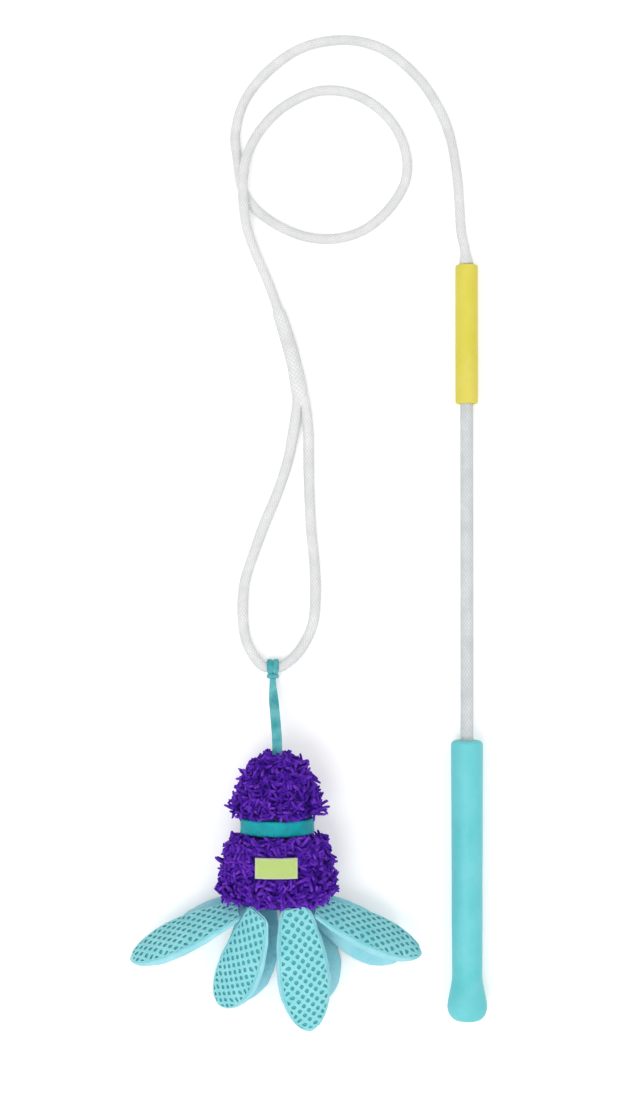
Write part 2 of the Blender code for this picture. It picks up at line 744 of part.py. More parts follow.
def panel_profile():
    end = PANEL_START + PANEL_THICKNESS
    edge = PANEL_THICKNESS * 0.3
    profile = [(PANEL_START, 0.0), (PANEL_START, BASE_RADIUS - edge), (PANEL_RIM, BASE_RADIUS)]
    profile += [(end, BASE_RADIUS - edge), (end + PANEL_CROWN * 0.7, BASE_RADIUS * 0.6)]
    return profile + [(end + PANEL_CROWN, 0.0)]


def make_panel(toy, finish):
    """The round panel that closes the base; the petals are sewn round its rim."""
    put("base_panel", toy_turned(panel_profile(), 28), finish, toy)


def body_radius_at(along):
    """The body's radius at a distance from the top of the head."""
    profile = body_profile()
    for (a, r), (b, s) in zip(profile, profile[1:]):
        if a <= along <= b:
            return r + (s - r) * (along - a) / (b - a)
    return profile[-1][1]


def make_label(toy, finish):
    """A bare patch that follows the front of the body."""
    bm = bmesh.new()
    bmesh.ops.create_grid(bm, x_segments=8, y_segments=3, size=0.5)
    for vert in bm.verts:
        across = vert.co.x * LABEL_WIDTH
        along = LABEL_FROM_TOP - vert.co.y * LABEL_HEIGHT
        out = body_radius_at(along)
        height = math.sqrt(out * out - across * across) * flatness(along) + SKIN_LIFT
        vert.co = (across, -along, height)
    top = bmesh.ops.extrude_face_region(bm, geom=bm.faces[:])
    raised = [v for v in top["geom"] if isinstance(v, bmesh.types.BMVert)]
    bmesh.ops.translate(bm, verts=raised, vec=(0.0, 0.0, LABEL_THICKNESS))
    put("label_patch", bm, finish, toy)


def petal_half_width(share):
    if share <= PETAL_WIDEST_SHARE:
        grown = math.sin(math.pi / 2 * share / PETAL_WIDEST_SHARE) ** 1.1
        return PETAL_ROOT_HALF_WIDTH + (PETAL_HALF_WIDTH - PETAL_ROOT_HALF_WIDTH) * grown
    beyond = (share - PETAL_WIDEST_SHARE) / (1.0 - PETAL_WIDEST_SHARE)
    return PETAL_HALF_WIDTH * (1.0 - beyond * beyond) ** 0.62


def petal_half_thickness(share):
    root = PETAL_ROOT_HALF_THICKNESS
    if share <= PETAL_WIDEST_SHARE:
        return root + (PETAL_HALF_THICKNESS - root) * math.sin(math.pi / 2 * share / PETAL_WIDEST_SHARE)
    beyond = (share - PETAL_WIDEST_SHARE) / (1.0 - PETAL_WIDEST_SHARE)
    return PETAL_HALF_THICKNESS * (1.0 - beyond * beyond) ** 0.5


def petal_middle(share, bend):
    """The height of the petal's middle surface: its root's outer face is at nought."""
    return -PETAL_ROOT_HALF_THICKNESS - bend * share * share


def petal_pad(length, bend):
    shares = (0.0, 0.07, 0.19, 0.34, 0.5, 0.66, 0.79, 0.89, 0.96, 0.992)
    upright = Matrix.Rotation(math.pi / 2, 3, "X").to_quaternion()
    stations = []
    for share in shares:
        place = Vector((0.0, length * share, petal_middle(share, bend)))
        size = (petal_half_width(share), petal_half_thickness(share), 1.0)
        stations.append(Matrix.LocRotScale(place, upright, size))
    return lofted(stations, 12)


def petal_net(length, bend):
    """The open-knit face, sewn over the outer side of the pad inside its plush rim."""
    bm = bmesh.new()
    bmesh.ops.create_grid(bm, x_segments=4, y_segments=6, size=1.0)
    for vert in bm.verts:
        across = vert.co.x * NET_SHARE_OF_WIDTH
        share = NET_FIRST_SHARE + (NET_LAST_SHARE - NET_FIRST_SHARE) * (vert.co.y + 1.0) / 2.0
        crown = petal_half_thickness(share) * math.sqrt(1.0 - across * across)
        vert.co = (
            across * petal_half_width(share),
            length * share,
            petal_middle(share, bend) + crown + NET_LIFT,
        )
    top = bmesh.ops.extrude_face_region(bm, geom=bm.faces[:])
    raised = [v for v in top["geom"] if isinstance(v, bmesh.types.BMVert)]
    bmesh.ops.translate(bm, verts=raised, vec=(0.0, 0.0, NET_THICKNESS))
    return bm


def petal_turn(heading, dip, roll, rear):
    """Columns: across the petal, along it, and out of its netted face."""
    h, d, r = (math.radians(value) for value in (heading, dip, roll))
    along = Vector((math.sin(h) * math.cos(d), -math.cos(h) * math.cos(d), -math.sin(d)))
    out = (Vector((0.0, 0.0, 1.0)) - along * along.z).normalized()
    out = -out if rear else out
    out = out * math.cos(r) + along.cross(out) * math.sin(r)
    return Matrix((along.cross(out), along, out)).transposed()


def rim_plane(ring_angle, lean):
    """A plane that touches the toy's lower end: its normal, leaning from sideways to down, and its point."""
    a = math.radians(ring_angle)
    outwards = Vector((BODY_FLATNESS * math.sin(a), 0.0, math.cos(a))).normalized()
    away = outwards * math.cos(math.radians(lean)) - Vector((0.0, math.sin(math.radians(lean)), 0.0))
    ring = Vector((math.sin(a), 0.0, BODY_FLATNESS * math.cos(a)))
    rim = [ring * radius - Vector((0.0, along, 0.0)) for along, radius in panel_profile() + body_profile()]
    return away, max(rim, key=away.dot)


def petal_pivot(ring_angle, heading, turn, corners):
    """The petal's hinge point: each corner of its root just clears some plane that touches the toy."""
    away, touched = rim_plane(ring_angle, PETAL_SEAT_LEAN - PETAL_SEAT_TURN * abs(heading))
    planes = [rim_plane(ring_angle + 8 * i, 30 + 10 * j) for i in range(-5, 6) for j in range(6)]
    shift = -1.0
    for corner in corners:
        place = touched + turn @ corner
        enough = 1.0
        for normal, point in planes:
            if normal.dot(away) > 0.5:
                enough = min(enough, (GAP - normal.dot(place - point)) / normal.dot(away))
        shift = max(shift, enough)
    return touched + away * shift


def petal_place(ring_angle, heading, dip, roll, rear, corners):
    turn = petal_turn(heading, dip, roll, rear)
    root = [corner for corner in corners if corner.y < PETAL_ROOT_REACH]
    pivot = petal_pivot(ring_angle, heading, turn, root)
    lowest = TOY_AXIS_HEIGHT + min((pivot + turn @ corner).z for corner in corners)
    return pivot, turn, lowest


def floor_dip(ring_angle, heading, roll, corners):
    """The dip at which a rear petal just lies on the floor, found by halving."""
    low, high = -20.0, 45.0
    for _ in range(40):
        dip = (low + high) / 2
        if petal_place(ring_angle, heading, dip, roll, True, corners)[2] > FLOOR_LIFT:
            low = dip
        else:
            high = dip
    return low


def make_petals(toy, plush, net):
    for name, ring_angle, heading, dip, roll, length, bend in PETALS:
        pad = petal_pad(length, bend)
        face = petal_net(length, bend)
        corners = [v.co.copy() for v in pad.verts] + [v.co.copy() for v in face.verts]
        rear = dip is None
        if rear:
            dip = floor_dip(ring_angle, heading, roll, corners)
        pivot, turn, lowest = petal_place(ring_angle, heading, dip, roll, rear, corners)
        hinge = empty(name + "_hinge", pivot, toy, turn.to_quaternion())
        put(name, pad, plush, hinge)
        put(name + "_net", face, net, hinge)
        print(name, "dip", round(dip, 2), "lowest, mm:", round(1000 * lowest, 2))


def main():
    clear_objects()
    rubber = material("grip_rubber", (0.19, 0.67, 0.73), 0.55)
    sleeve = material("sleeve_rubber", (0.79, 0.66, 0.13), 0.5)
    fibre = material("fibre_rod", (0.75, 0.75, 0.70), 0.4)
    braid = material("rope_braid", (0.80, 0.80, 0.79), 0.85)
    plastic = material("core_plastic", (0.62, 0.64, 0.64), 0.45)
    metal = material("crimp_metal", (0.70, 0.71, 0.72), 0.3, 1.0)
    ribbon = material("satin_ribbon", (0.03, 0.36, 0.38), 0.4)
    pile = material("purple_pile", (0.07, 0.02, 0.28), 0.9)
    filling = material("fibre_filling", (0.88, 0.88, 0.86), 0.95)
    plush = material("petal_plush", (0.24, 0.62, 0.68), 0.9)
    net = material("petal_knit", (0.16, 0.58, 0.64), 0.75)
    label = material("label_weave", (0.52, 0.68, 0.18), 0.7)
    bulb = material("squeaker_plastic", (0.85, 0.85, 0.83), 0.35)

    make_pole(rubber, sleeve, fibre, braid, plastic, metal)
    make_rope(braid)
    make_eye(braid)

    strap = empty("strap_hinge", (HITCH_X, HITCH_Y, HITCH_Z))
    ribbon_start = make_hitch(strap, ribbon)
    make_ribbon(strap, ribbon_start, ribbon)

    toy = empty("toy_axis", (STRAP_DRIFT, -STRAP_REACH, TOY_AXIS_HEIGHT - HITCH_Z), strap)
    make_covers(toy, pile)
    make_stuffing(toy, filling)
    make_squeaker(toy, bulb, plastic)
    make_band(toy, ribbon)
    make_panel(toy, pile)
    make_label(toy, label)
    make_petals(toy, plush, net)


main()
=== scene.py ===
import json
import math
import random

import bmesh
import bpy
from mathutils import Matrix, Vector, noise


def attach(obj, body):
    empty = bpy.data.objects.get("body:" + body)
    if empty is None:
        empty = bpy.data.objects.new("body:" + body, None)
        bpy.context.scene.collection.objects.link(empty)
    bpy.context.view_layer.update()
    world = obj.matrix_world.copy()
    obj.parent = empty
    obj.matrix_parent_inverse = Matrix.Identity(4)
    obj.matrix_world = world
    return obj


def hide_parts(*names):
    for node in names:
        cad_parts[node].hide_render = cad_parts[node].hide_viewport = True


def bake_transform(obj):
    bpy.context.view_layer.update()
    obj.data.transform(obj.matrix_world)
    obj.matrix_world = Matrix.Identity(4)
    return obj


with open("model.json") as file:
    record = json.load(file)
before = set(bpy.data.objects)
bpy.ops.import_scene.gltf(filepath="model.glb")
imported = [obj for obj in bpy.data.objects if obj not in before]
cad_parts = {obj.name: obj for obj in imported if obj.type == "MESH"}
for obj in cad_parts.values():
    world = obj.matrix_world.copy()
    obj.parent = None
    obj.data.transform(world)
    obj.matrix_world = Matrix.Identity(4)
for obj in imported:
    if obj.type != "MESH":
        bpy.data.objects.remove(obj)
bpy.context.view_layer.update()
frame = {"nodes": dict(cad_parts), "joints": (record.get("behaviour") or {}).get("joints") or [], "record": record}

# The camera looks straight down; the floor that it sees is this long
CAMERA_PLACE = (0.0041, 0.0666, 1.25)
SEEN_LENGTH = 0.748
SENSOR = 36.0
AMBIENT = 0.62
FLOOR_GLOW = 0.3

# Pole
POLE_LENGTH = 0.5088
GRIP_LENGTH = 0.188
GRIP_MOUTH_RADIUS = 0.01065
GRIP_WAIST_RADIUS = 0.01005
GRIP_WAIST_FROM_BUTT = 0.031
BUTT_RADIUS = 0.0133
BUTT_WIDEST_FROM_END = 0.0095
BUTT_FLAT_RADIUS = 0.0065
GRIP_LIP = 0.003
SLEEVE_LENGTH = 0.094
SLEEVE_RADIUS = 0.0076
ROD_BRAID_RADIUS = 0.00435
ROD_BRAID_START = 0.015
TURNED_SIDES = 96
BORE_RADIUS = 0.00468
CRIMP_ROOM_RADIUS = 0.0062

# Rope
ROPE_RADIUS = 0.00325
NECK_LENGTH = 0.0095
NECK_RADIUS = 0.0047
SPLICE_LENGTH = 0.064
SPLICE_RADIUS = 0.0051
SPLICE_SHOULDER = 0.009
CROTCH_REACH = 0.008
TAIL_TAPER = 0.014
LEG_TAPER = 0.016
EYE_RADIUS = 0.0035
ROPE_STRANDS = 10
ROPE_LAY = 0.0032
ROD_STRANDS = 12
ROD_LAY = 0.0036
BRAID_RELIEF = 0.0003
BRAID_STEPS = 6
ROPE_UNEVENNESS = 0.07

# Strap
HITCH = Vector((-0.0244, -0.0124, 0.0053))
STRAP_DRIFT = 0.0034
STRAP_REACH = 0.0563
RIBBON_HALF_THICKNESS = 0.0003

# Toy, from the top of its head down its axis
TOY_X = -0.021
TOY_TOP_Y = -0.0687
TOY_HEIGHT = 0.030
HEAD_RADIUS = 0.029
HEAD_LENGTH = 0.041
HEAD_FLATNESS = 0.965
BODY_START = 0.0532
BODY_RADIUS = 0.0375
BODY_LENGTH = 0.044
BODY_FLATNESS = 0.8
BASE = BODY_START + BODY_LENGTH
BASE_RADIUS = 0.0285
LABEL_WIDTH = 0.028
LABEL_HEIGHT = 0.0136
LABEL_FROM_TOP = 0.0712
LABEL_MARGIN = 0.0006
FLOOR_TOUCH = 0.00004
FLOOR_CLEARANCE = 0.0004
HEAD_NOODLES = 980
BODY_NOODLES = 1560
NOODLE_LENGTHS = (0.0088, 0.0118)
NOODLE_RADII = (0.0009, 0.00108)
NOODLE_BENDS = (0.2, 1.1)
NOODLE_TILTS = (74, 88)
STRAY_TILTS = (54, 68)
STRAY_SHARE = 0.09
NOODLE_DEPTH = 0.0022
BACKING_DEPTH = 0.0017
GOLDEN_ANGLE = 2.39996
# Shares of a noodle's length and radius
NOODLE_RINGS = (
    (0.0, 0.85), (0.22, 1.0), (0.45, 1.0), (0.7, 0.97), (0.88, 0.85), (0.96, 0.62), (1.0, 0.32),
)

# Petals: name, heading and dip in degrees, length, how far the tip bends down, how much wider
# than its solid, and the sideways drift of its root, middle and tip
PETALS = (
    ("petal_front_1", -64.0, 10.5, 0.0805, 0.000, 1.0, (0.0, 0.0, 0.0)),
    ("petal_front_2", -22.0, 27.0, 0.083, 0.002, 1.05, (-0.0016, -0.0046, 0.0)),
    ("petal_front_3", 6.0, 15.0, 0.090, 0.004, 1.08, (0.0036, 0.0024, 0.0016)),
    ("petal_front_4", 66.0, 13.0, 0.078, 0.000, 1.0, (-0.0032, -0.0008, 0.0)),
    ("petal_rear_1", -59.0, 6.15, 0.060, 0.000, 1.0, (0.0, 0.0, 0.0)),
    ("petal_rear_2", -9.0, 4.9, 0.071, 0.000, 1.1, (0.0044, 0.003, 0.0)),
    ("petal_rear_3", 16.5, 5.4, 0.071, 0.000, 1.05, (-0.003, 0.0, 0.0)),
    ("petal_rear_4", 53.0, 16.28, 0.072, 0.000, 1.0, (0.0, 0.0, 0.0)),
)
PETAL_HALF_WIDTH = 0.0165
PETAL_ROOT_HALF_WIDTH = 0.0092
PETAL_TUCK_SHARE = 0.042
PETAL_HALF_THICKNESS = 0.0047
PETAL_ROOT_HALF_THICKNESS = 0.0015
PETAL_WIDEST_SHARE = 0.56
PETAL_FULLNESS = 2.25
LINING_DEPTH = 0.0007
NET_SIDE_SHARE = 0.88
NET_FIRST_SHARE = -0.036
NET_LAST_SHARE = 0.962
NET_WIDE = 0.0057
NET_TALL = 0.0074
NET_BAR = 0.0019
NET_LIFT = 0.0002

ROPE_ROUTE = (
    (0.1065, 0.2595, 0.0076), (0.1054, 0.2700, 0.0066), (0.1030, 0.2830, 0.0046),
    (0.1020, 0.3010, 0.0034), (0.1002, 0.3220, 0.00335), (0.0956, 0.3470, 0.00335),
    (0.0870, 0.3680, 0.00335), (0.0725, 0.3885, 0.00335), (0.0500, 0.4063, 0.00335),
    (0.0240, 0.4124, 0.00335), (-0.0040, 0.4074, 0.00335), (-0.0270, 0.3920, 0.00335),
    (-0.0435, 0.3715, 0.00335), (-0.0499, 0.3490, 0.00335), (-0.0484, 0.3310, 0.00335),
    (-0.0460, 0.3145, 0.00335), (-0.0395, 0.3015, 0.00335), (-0.0250, 0.2890, 0.00335),
    (-0.0047, 0.2797, 0.00335), (0.0170, 0.2776, 0.00335), (0.0380, 0.2840, 0.00335),
    (0.0560, 0.3000, 0.00335), (0.0662, 0.3200, 0.00335), (0.0640, 0.3420, 0.00335),
    (0.0520, 0.3615, 0.00335), (0.0320, 0.3750, 0.00335), (0.0080, 0.3780, 0.00335),
    (-0.0149, 0.3686, 0.0036), (-0.0310, 0.3535, 0.0048), (-0.0408, 0.3360, 0.0078),
    (-0.0442, 0.3190, 0.0104), (-0.0444, 0.3030, 0.0106), (-0.0420, 0.2850, 0.0080),
    (-0.0360, 0.2675, 0.0048), (-0.0270, 0.2465, 0.0036), (-0.0190, 0.2235, 0.0048),
    (-0.0124, 0.2020, 0.0052), (-0.0084, 0.1850, 0.0052), (-0.0061, 0.1714, 0.0052),
)
CROTCH = (-0.0054, 0.1634, 0.0048)
EYE_ROUTE = (
    (-0.0034, 0.17145, 0.0052), (-0.0026, 0.1670, 0.0052), (-0.0014, 0.1575, 0.0043),
    (-0.0003, 0.1450, 0.0036), (-0.0002, 0.1320, 0.0036), (0.0002, 0.1080, 0.0036),
    (0.0014, 0.0820, 0.0036), (0.0037, 0.0570, 0.0036), (0.0044, 0.0367, 0.0036),
    (0.0029, 0.0177, 0.0036), (-0.0026, 0.0041, 0.0038), (-0.0096, -0.0056, 0.0046),
    (-0.0159, -0.0107, 0.0052), (-0.0192, -0.0124, 0.0053), (-0.0244, -0.0124, 0.0053),
    (-0.0296, -0.0124, 0.0053), (-0.0338, -0.0095, 0.0050), (-0.0398, -0.0010, 0.0040),
    (-0.0436, 0.0095, 0.0036), (-0.0449, 0.0258, 0.0036), (-0.0436, 0.0440, 0.0036),
    (-0.0382, 0.0620, 0.0036), (-0.0300, 0.0845, 0.0036), (-0.0215, 0.1050, 0.0036),
    (-0.0146, 0.1260, 0.0036), (-0.0112, 0.1430, 0.0036), (-0.0092, 0.1560, 0.0043),
    (-0.0082, 0.1660, 0.0052), (-0.0087, 0.17045, 0.0052),
)

# Shares of length and radius along the head's dome and the body's belly
HEAD_OUTLINE = (
    (0.0, 0.13), (0.02, 0.30), (0.08, 0.475), (0.19, 0.655), (0.34, 0.785), (0.50, 0.875),
    (0.67, 0.955), (0.83, 1.0), (0.935, 0.972), (0.985, 0.87), (1.0, 0.80),
)
BODY_OUTLINE = (
    (0.0, 0.62), (0.015, 0.67), (0.05, 0.78), (0.135, 0.865), (0.30, 0.93), (0.50, 0.968),
    (0.70, 1.0), (0.83, 0.992), (0.92, 0.935), (0.975, 0.855), (1.0, 0.78),
)


def smoothstep(low, high, value):
    t = min(1.0, max(0.0, (value - low) / (high - low)))
    return t * t * (3.0 - 2.0 * t)


def catmull(points, steps):
    """A smooth line through points, with some steps in each span."""
    ends = [2 * points[0] - points[1]] + points + [2 * points[-1] - points[-2]]
    line = []
    for a, b, c, d in zip(ends, ends[1:], ends[2:], ends[3:]):
        for i in range(steps):
            t = i / steps
            line.append(
                b
                + 0.5 * t * (c - a)
                + t * t * (a - 2.5 * b + 2 * c - 0.5 * d)
                + t**3 * (1.5 * (b - c) + 0.5 * (d - a))
            )
    return line + [points[-1]]


class Route:
    """A smooth line through points, read by its length from the start."""

    def __init__(self, points):
        self.line = catmull([Vector(p) for p in points], 12)
        self.reach = [0.0]
        for here, there in zip(self.line, self.line[1:]):
            self.reach.append(self.reach[-1] + (there - here).length)
        self.length = self.reach[-1]

    def spread(self, count):
        """Points at equal steps, ends included."""
        made = []
        i = 0
        for k in range(count + 1):
            along = min(self.length, self.length * k / count)
            while i < len(self.line) - 2 and self.reach[i + 1] < along:
                i += 1
            share = (along - self.reach[i]) / (self.reach[i + 1] - self.reach[i])
            made.append(self.line[i].lerp(self.line[i + 1], min(1.0, share)))
        return made


# Finishes


def tint(red, green, blue):
    """A colour as it should render, 0 to 255, as the shader's linear values."""
    linear = []
    for value in (red, green, blue):
        share = value / 255
        linear.append(share / 12.92 if share <= 0.04045 else ((share + 0.055) / 1.055) ** 2.4)
    return (*linear, 1.0)


def feed(tree, socket, value):
    """Gives a socket a number, a colour or what another node puts out."""
    if isinstance(value, bpy.types.NodeSocket):
        tree.links.new(value, socket)
    else:
        socket.default_value = value


def add(tree, kind, inputs=None, **settings):
    """One node with its settings and inputs."""
    made = tree.nodes.new(kind)
    for key, value in settings.items():
        setattr(made, key, value)
    for key, value in (inputs or {}).items():
        feed(tree, made.inputs[key], value)
    return made


def sum_of(tree, operation, *values):
    return add(tree, "ShaderNodeMath", dict(enumerate(values)), operation=operation).outputs[0]


def mixed(tree, share, first, second):
    """Two colours mixed."""
    return add(tree, "ShaderNodeMix", {0: share, 6: first, 7: second}, data_type="RGBA").outputs[2]


def chosen(tree, share, first, second):
    """Two numbers mixed."""
    return add(tree, "ShaderNodeMix", {0: share, 2: first, 3: second}).outputs[0]


def spread(tree, value, low, high, to_low=0.0, to_high=1.0):
    """A value's range stretched to another, kept within it."""
    inputs = {"Value": value, "From Min": low, "From Max": high}
    inputs.update({"To Min": to_low, "To Max": to_high})
    return add(tree, "ShaderNodeMapRange", inputs).outputs[0]


def grain_at(tree, place, scale, detail=2.0, roughness=0.55):
    inputs = {"Vector": place, "Scale": scale, "Detail": detail, "Roughness": roughness}
    return add(tree, "ShaderNodeTexNoise", inputs).outputs[0]


def group(name, inputs, outputs):
    """An empty node group with named sockets; a default value follows an input's name."""
    tree = bpy.data.node_groups.new(name, "ShaderNodeTree")
    for key, value in inputs:
        kind = "NodeSocketVector" if value is None else "NodeSocketFloat"
        socket = tree.interface.new_socket(name=key, in_out="INPUT", socket_type=kind)
        if value is not None:
            socket.default_value = value
    for key in outputs:
        tree.interface.new_socket(name=key, in_out="OUTPUT", socket_type="NodeSocketFloat")
    return tree, tree.nodes.new("NodeGroupInput").outputs, tree.nodes.new("NodeGroupOutput").inputs


def braid_group():
    """Two families of strands that pass over and under each other round a tube."""
    tree, given, out = group(
        "crossed_strands",
        (("Along", 0.0), ("Around", 0.0), ("Strands", 6.0), ("Lay", 0.0046), ("Yarns", 4.0)),
        ("Height", "Yarn"),
    )
    turned = sum_of(tree, "MULTIPLY", given["Around"], given["Strands"])
    led = sum_of(tree, "DIVIDE", given["Along"], given["Lay"])
    one = sum_of(tree, "ADD", turned, led)
    other = sum_of(tree, "SUBTRACT", turned, led)
    floors = sum_of(tree, "ADD", sum_of(tree, "FLOOR", one), sum_of(tree, "FLOOR", other))
    over = sum_of(tree, "FLOORED_MODULO", floors, 2.0)
    first = sum_of(tree, "SUBTRACT", sum_of(tree, "FRACT", one), 0.5)
    second = sum_of(tree, "SUBTRACT", sum_of(tree, "FRACT", other), 0.5)

    across = chosen(tree, over, first, second)
    down = chosen(tree, over, second, first)
    square = sum_of(tree, "MULTIPLY", sum_of(tree, "MULTIPLY", across, across), -4.0)
    crown = sum_of(tree, "ADD", square, 1.0)
    dip = sum_of(tree, "COSINE", sum_of(tree, "MULTIPLY", down, 2.4))
    tree.links.new(sum_of(tree, "MULTIPLY", crown, dip), out["Height"])
    lines = sum_of(tree, "MULTIPLY", sum_of(tree, "MULTIPLY", across, given["Yarns"]), math.tau)
    yarn = sum_of(tree, "MULTIPLY_ADD", sum_of(tree, "COSINE", lines), 0.5, 0.5)
    tree.links.new(yarn, out["Yarn"])
    return tree


def pile_group():
    """Short fibres: a fine nap, clumps of it, and slow patches: where the nap lies another way on cloth, and
    painted shade on the braids.
    """
    tree, given, out = group(
        "short_nap", (("Vector", None), ("Fineness", 1.0)), ("Nap", "Clumps", "Patches")
    )

    def at(scale, detail):
        scaled = sum_of(tree, "MULTIPLY", given["Fineness"], scale)
        return grain_at(tree, given["Vector"], scaled, detail, 0.6)

    tree.links.new(at(2600.0, 3.0), out["Nap"])
    tree.links.new(spread(tree, at(620.0, 2.0), 0.3, 0.7), out["Clumps"])
    tree.links.new(spread(tree, at(70.0, 2.0), 0.3, 0.7), out["Patches"])
    return tree


def mould_group():
    """Moulded rubber: a fine spark-eroded grain, soft mottling, and rubbed spots."""
    tree, given, out = group("moulded_grain", (("Vector", None),), ("Grain", "Mottle", "Rubbed"))
    tree.links.new(grain_at(tree, given["Vector"], 2200.0, 2.0), out["Grain"])
    mottle = grain_at(tree, given["Vector"], 45.0, 3.0)
    tree.links.new(spread(tree, mottle, 0.3, 0.7), out["Mottle"])
    stretched = {"Vector": given["Vector"], "Scale": (1.0, 0.35, 1.0)}
    streaked = add(tree, "ShaderNodeMapping", stretched).outputs[0]
    rubbed = grain_at(tree, streaked, 160.0, 5.0, 0.7)
    tree.links.new(spread(tree, rubbed, 0.56, 0.74), out["Rubbed"])
    return tree


def weave_group():
    """Warp and weft threads, over and under, on a flat piece's own two directions."""
    tree, given, out = group(
        "plain_weave", (("Across", 0.0), ("Along", 0.0), ("Pitch", 0.0005)), ("Height",)
    )
    a = sum_of(tree, "DIVIDE", given["Across"], given["Pitch"])
    b = sum_of(tree, "DIVIDE", given["Along"], given["Pitch"])
    floors = sum_of(tree, "ADD", sum_of(tree, "FLOOR", a), sum_of(tree, "FLOOR", b))
    over = sum_of(tree, "FLOORED_MODULO", floors, 2.0)
    humps = []
    for value in (a, b):
        wave = sum_of(tree, "MULTIPLY", sum_of(tree, "FRACT", value), math.pi)
        humps.append(sum_of(tree, "SINE", wave))
    tree.links.new(chosen(tree, over, *humps), out["Height"])
    return tree


def finish(name, roughness, metallic=0.0, sheen=0.0, specular=0.5, sheen_tint=None):
    """A material with a Principled shader; what is even all over is set on its own sockets."""
    made = bpy.data.materials.new(name)
    made.use_nodes = True
    tree = made.node_tree
    shader = tree.nodes["Principled BSDF"]
    shader.inputs["Roughness"].default_value = roughness
    shader.inputs["Metallic"].default_value = metallic
    shader.inputs["Specular IOR Level"].default_value = specular
    if sheen:
        shader.inputs["Sheen Weight"].default_value = sheen
        shader.inputs["Sheen Roughness"].default_value = 0.45
        shader.inputs["Sheen Tint"].default_value = sheen_tint or (1.0, 1.0, 1.0, 1.0)
    return made, tree, shader


def object_place(tree):
    return tree.nodes.new("ShaderNodeTexCoord").outputs["Object"]


def uv_parts(tree):
    uv = tree.nodes.new("ShaderNodeTexCoord").outputs["UV"]
    made = add(tree, "ShaderNodeSeparateXYZ", {"Vector": uv})
    return made.outputs[0], made.outputs[1]


def placed(tree, made, inputs):
    return add(tree, "ShaderNodeGroup", inputs, node_tree=made).outputs


def napped(tree, shared):
    return placed(tree, shared["pile"], {"Vector": object_place(tree), "Fineness": 1.0})


def woven(tree, shared, pitch, across, along):
    return placed(tree, shared["weave"], {"Across": across, "Along": along, "Pitch": pitch})


def fibrous(tree, nap, color, light, most):
    """Slow patches between two tones, and paler clumps of fibre over them."""
    toned = mixed(tree, nap["Patches"], color, light)
    return mixed(tree, spread(tree, nap["Clumps"], 0.0, 1.0, 0.0, most), toned, light)


def dressed(tree, shader, color, *layers):
    """Its colour, and bumps on each other: a height, its depth in metres and its strength."""
    tree.links.new(color, shader.inputs["Base Color"])
    before = None
    for height, depth, strength in layers:
        inputs = {"Height": height, "Distance": depth, "Strength": strength}
        if before is not None:
            inputs["Normal"] = before
        before = add(tree, "ShaderNodeBump", inputs).outputs[0]
    tree.links.new(before, shader.inputs["Normal"])


def braid_finish(name, shared, crest, painted_groove_shade, strands, lay):
    made, tree, shader = finish(name, 0.8, specular=0.2)
    along, around = uv_parts(tree)
    given = {"Along": along, "Around": around, "Strands": strands, "Lay": lay}
    braid = placed(tree, shared["braid"], given)
    nap = napped(tree, shared)
    # lit and yarn: the braid's grooves, and the lines between its yarns, take the darker colour: painted shade in
    # its recesses.
    lit = spread(tree, braid["Height"], -0.2, 0.7)
    yarn = spread(tree, braid["Yarn"], 0.0, 1.0, 0.8, 1.0)
    # Slow grey patches over the braid: painted shade.
    painted_shade_patches = spread(tree, nap["Patches"], 0.0, 1.0, 0.45, 1.0)
    matted = spread(tree, nap["Clumps"], 0.0, 1.0, 0.7, 1.0)
    light = sum_of(tree, "MULTIPLY", lit, yarn)
    shade = sum_of(tree, "MULTIPLY", light, sum_of(tree, "MULTIPLY", painted_shade_patches, matted))
    dressed(
        tree, shader, mixed(tree, shade, painted_groove_shade, crest), (braid["Height"], BRAID_RELIEF, 0.5),
        (braid["Yarn"], 0.00006, 0.5), (nap["Nap"], 0.00006, 0.35),
    )
    return made


def rubber_finish(name, shared, color, light):
    made, tree, shader = finish(name, 0.5, specular=0.4)
    mould = placed(tree, shared["mould"], {"Vector": object_place(tree)})
    toned = mixed(tree, mould["Mottle"], color, light)
    worn = sum_of(tree, "MULTIPLY", mould["Rubbed"], 0.12)
    rough = spread(tree, mould["Mottle"], 0.0, 1.0, 0.44, 0.56)
    tree.links.new(rough, shader.inputs["Roughness"])
    bumps = (mould["Grain"], 0.00005, 0.35), (mould["Mottle"], 0.0004, 0.25)
    dressed(tree, shader, mixed(tree, worn, toned, tint(206, 226, 222)), *bumps)
    return made


def noodle_finish(name, shared, deep, mid, bright):
    """Chenille noodles: each has its own tone, and their roots are in shade."""
    violet = tint(150, 90, 255)
    made, tree, shader = finish(name, 0.85, sheen=0.4, specular=0.1, sheen_tint=violet)
    tone = add(tree, "ShaderNodeAttribute", attribute_name="tone").outputs["Fac"]
    reach = add(tree, "ShaderNodeAttribute", attribute_name="reach").outputs["Fac"]
    nap = napped(tree, shared)
    fibres = spread(tree, nap["Clumps"], 0.0, 1.0, -0.18, 0.18)
    toned = mixed(tree, sum_of(tree, "ADD", tone, fibres), mid, bright)
    color = mixed(tree, spread(tree, reach, 0.15, 0.8), deep, toned)
    dressed(tree, shader, color, (nap["Clumps"], 0.0005, 0.7), (nap["Nap"], 0.0002, 0.6))
    return made


def cloth_finish(name, shared, color, light, sheen=0.35):
    made, tree, shader = finish(name, 0.9, sheen=sheen, specular=0.2)
    nap = napped(tree, shared)
    toned = fibrous(tree, nap, color, light, 0.4)
    dressed(tree, shader, toned, (nap["Clumps"], 0.0003, 0.4), (nap["Nap"], 0.00015, 0.5))
    return made


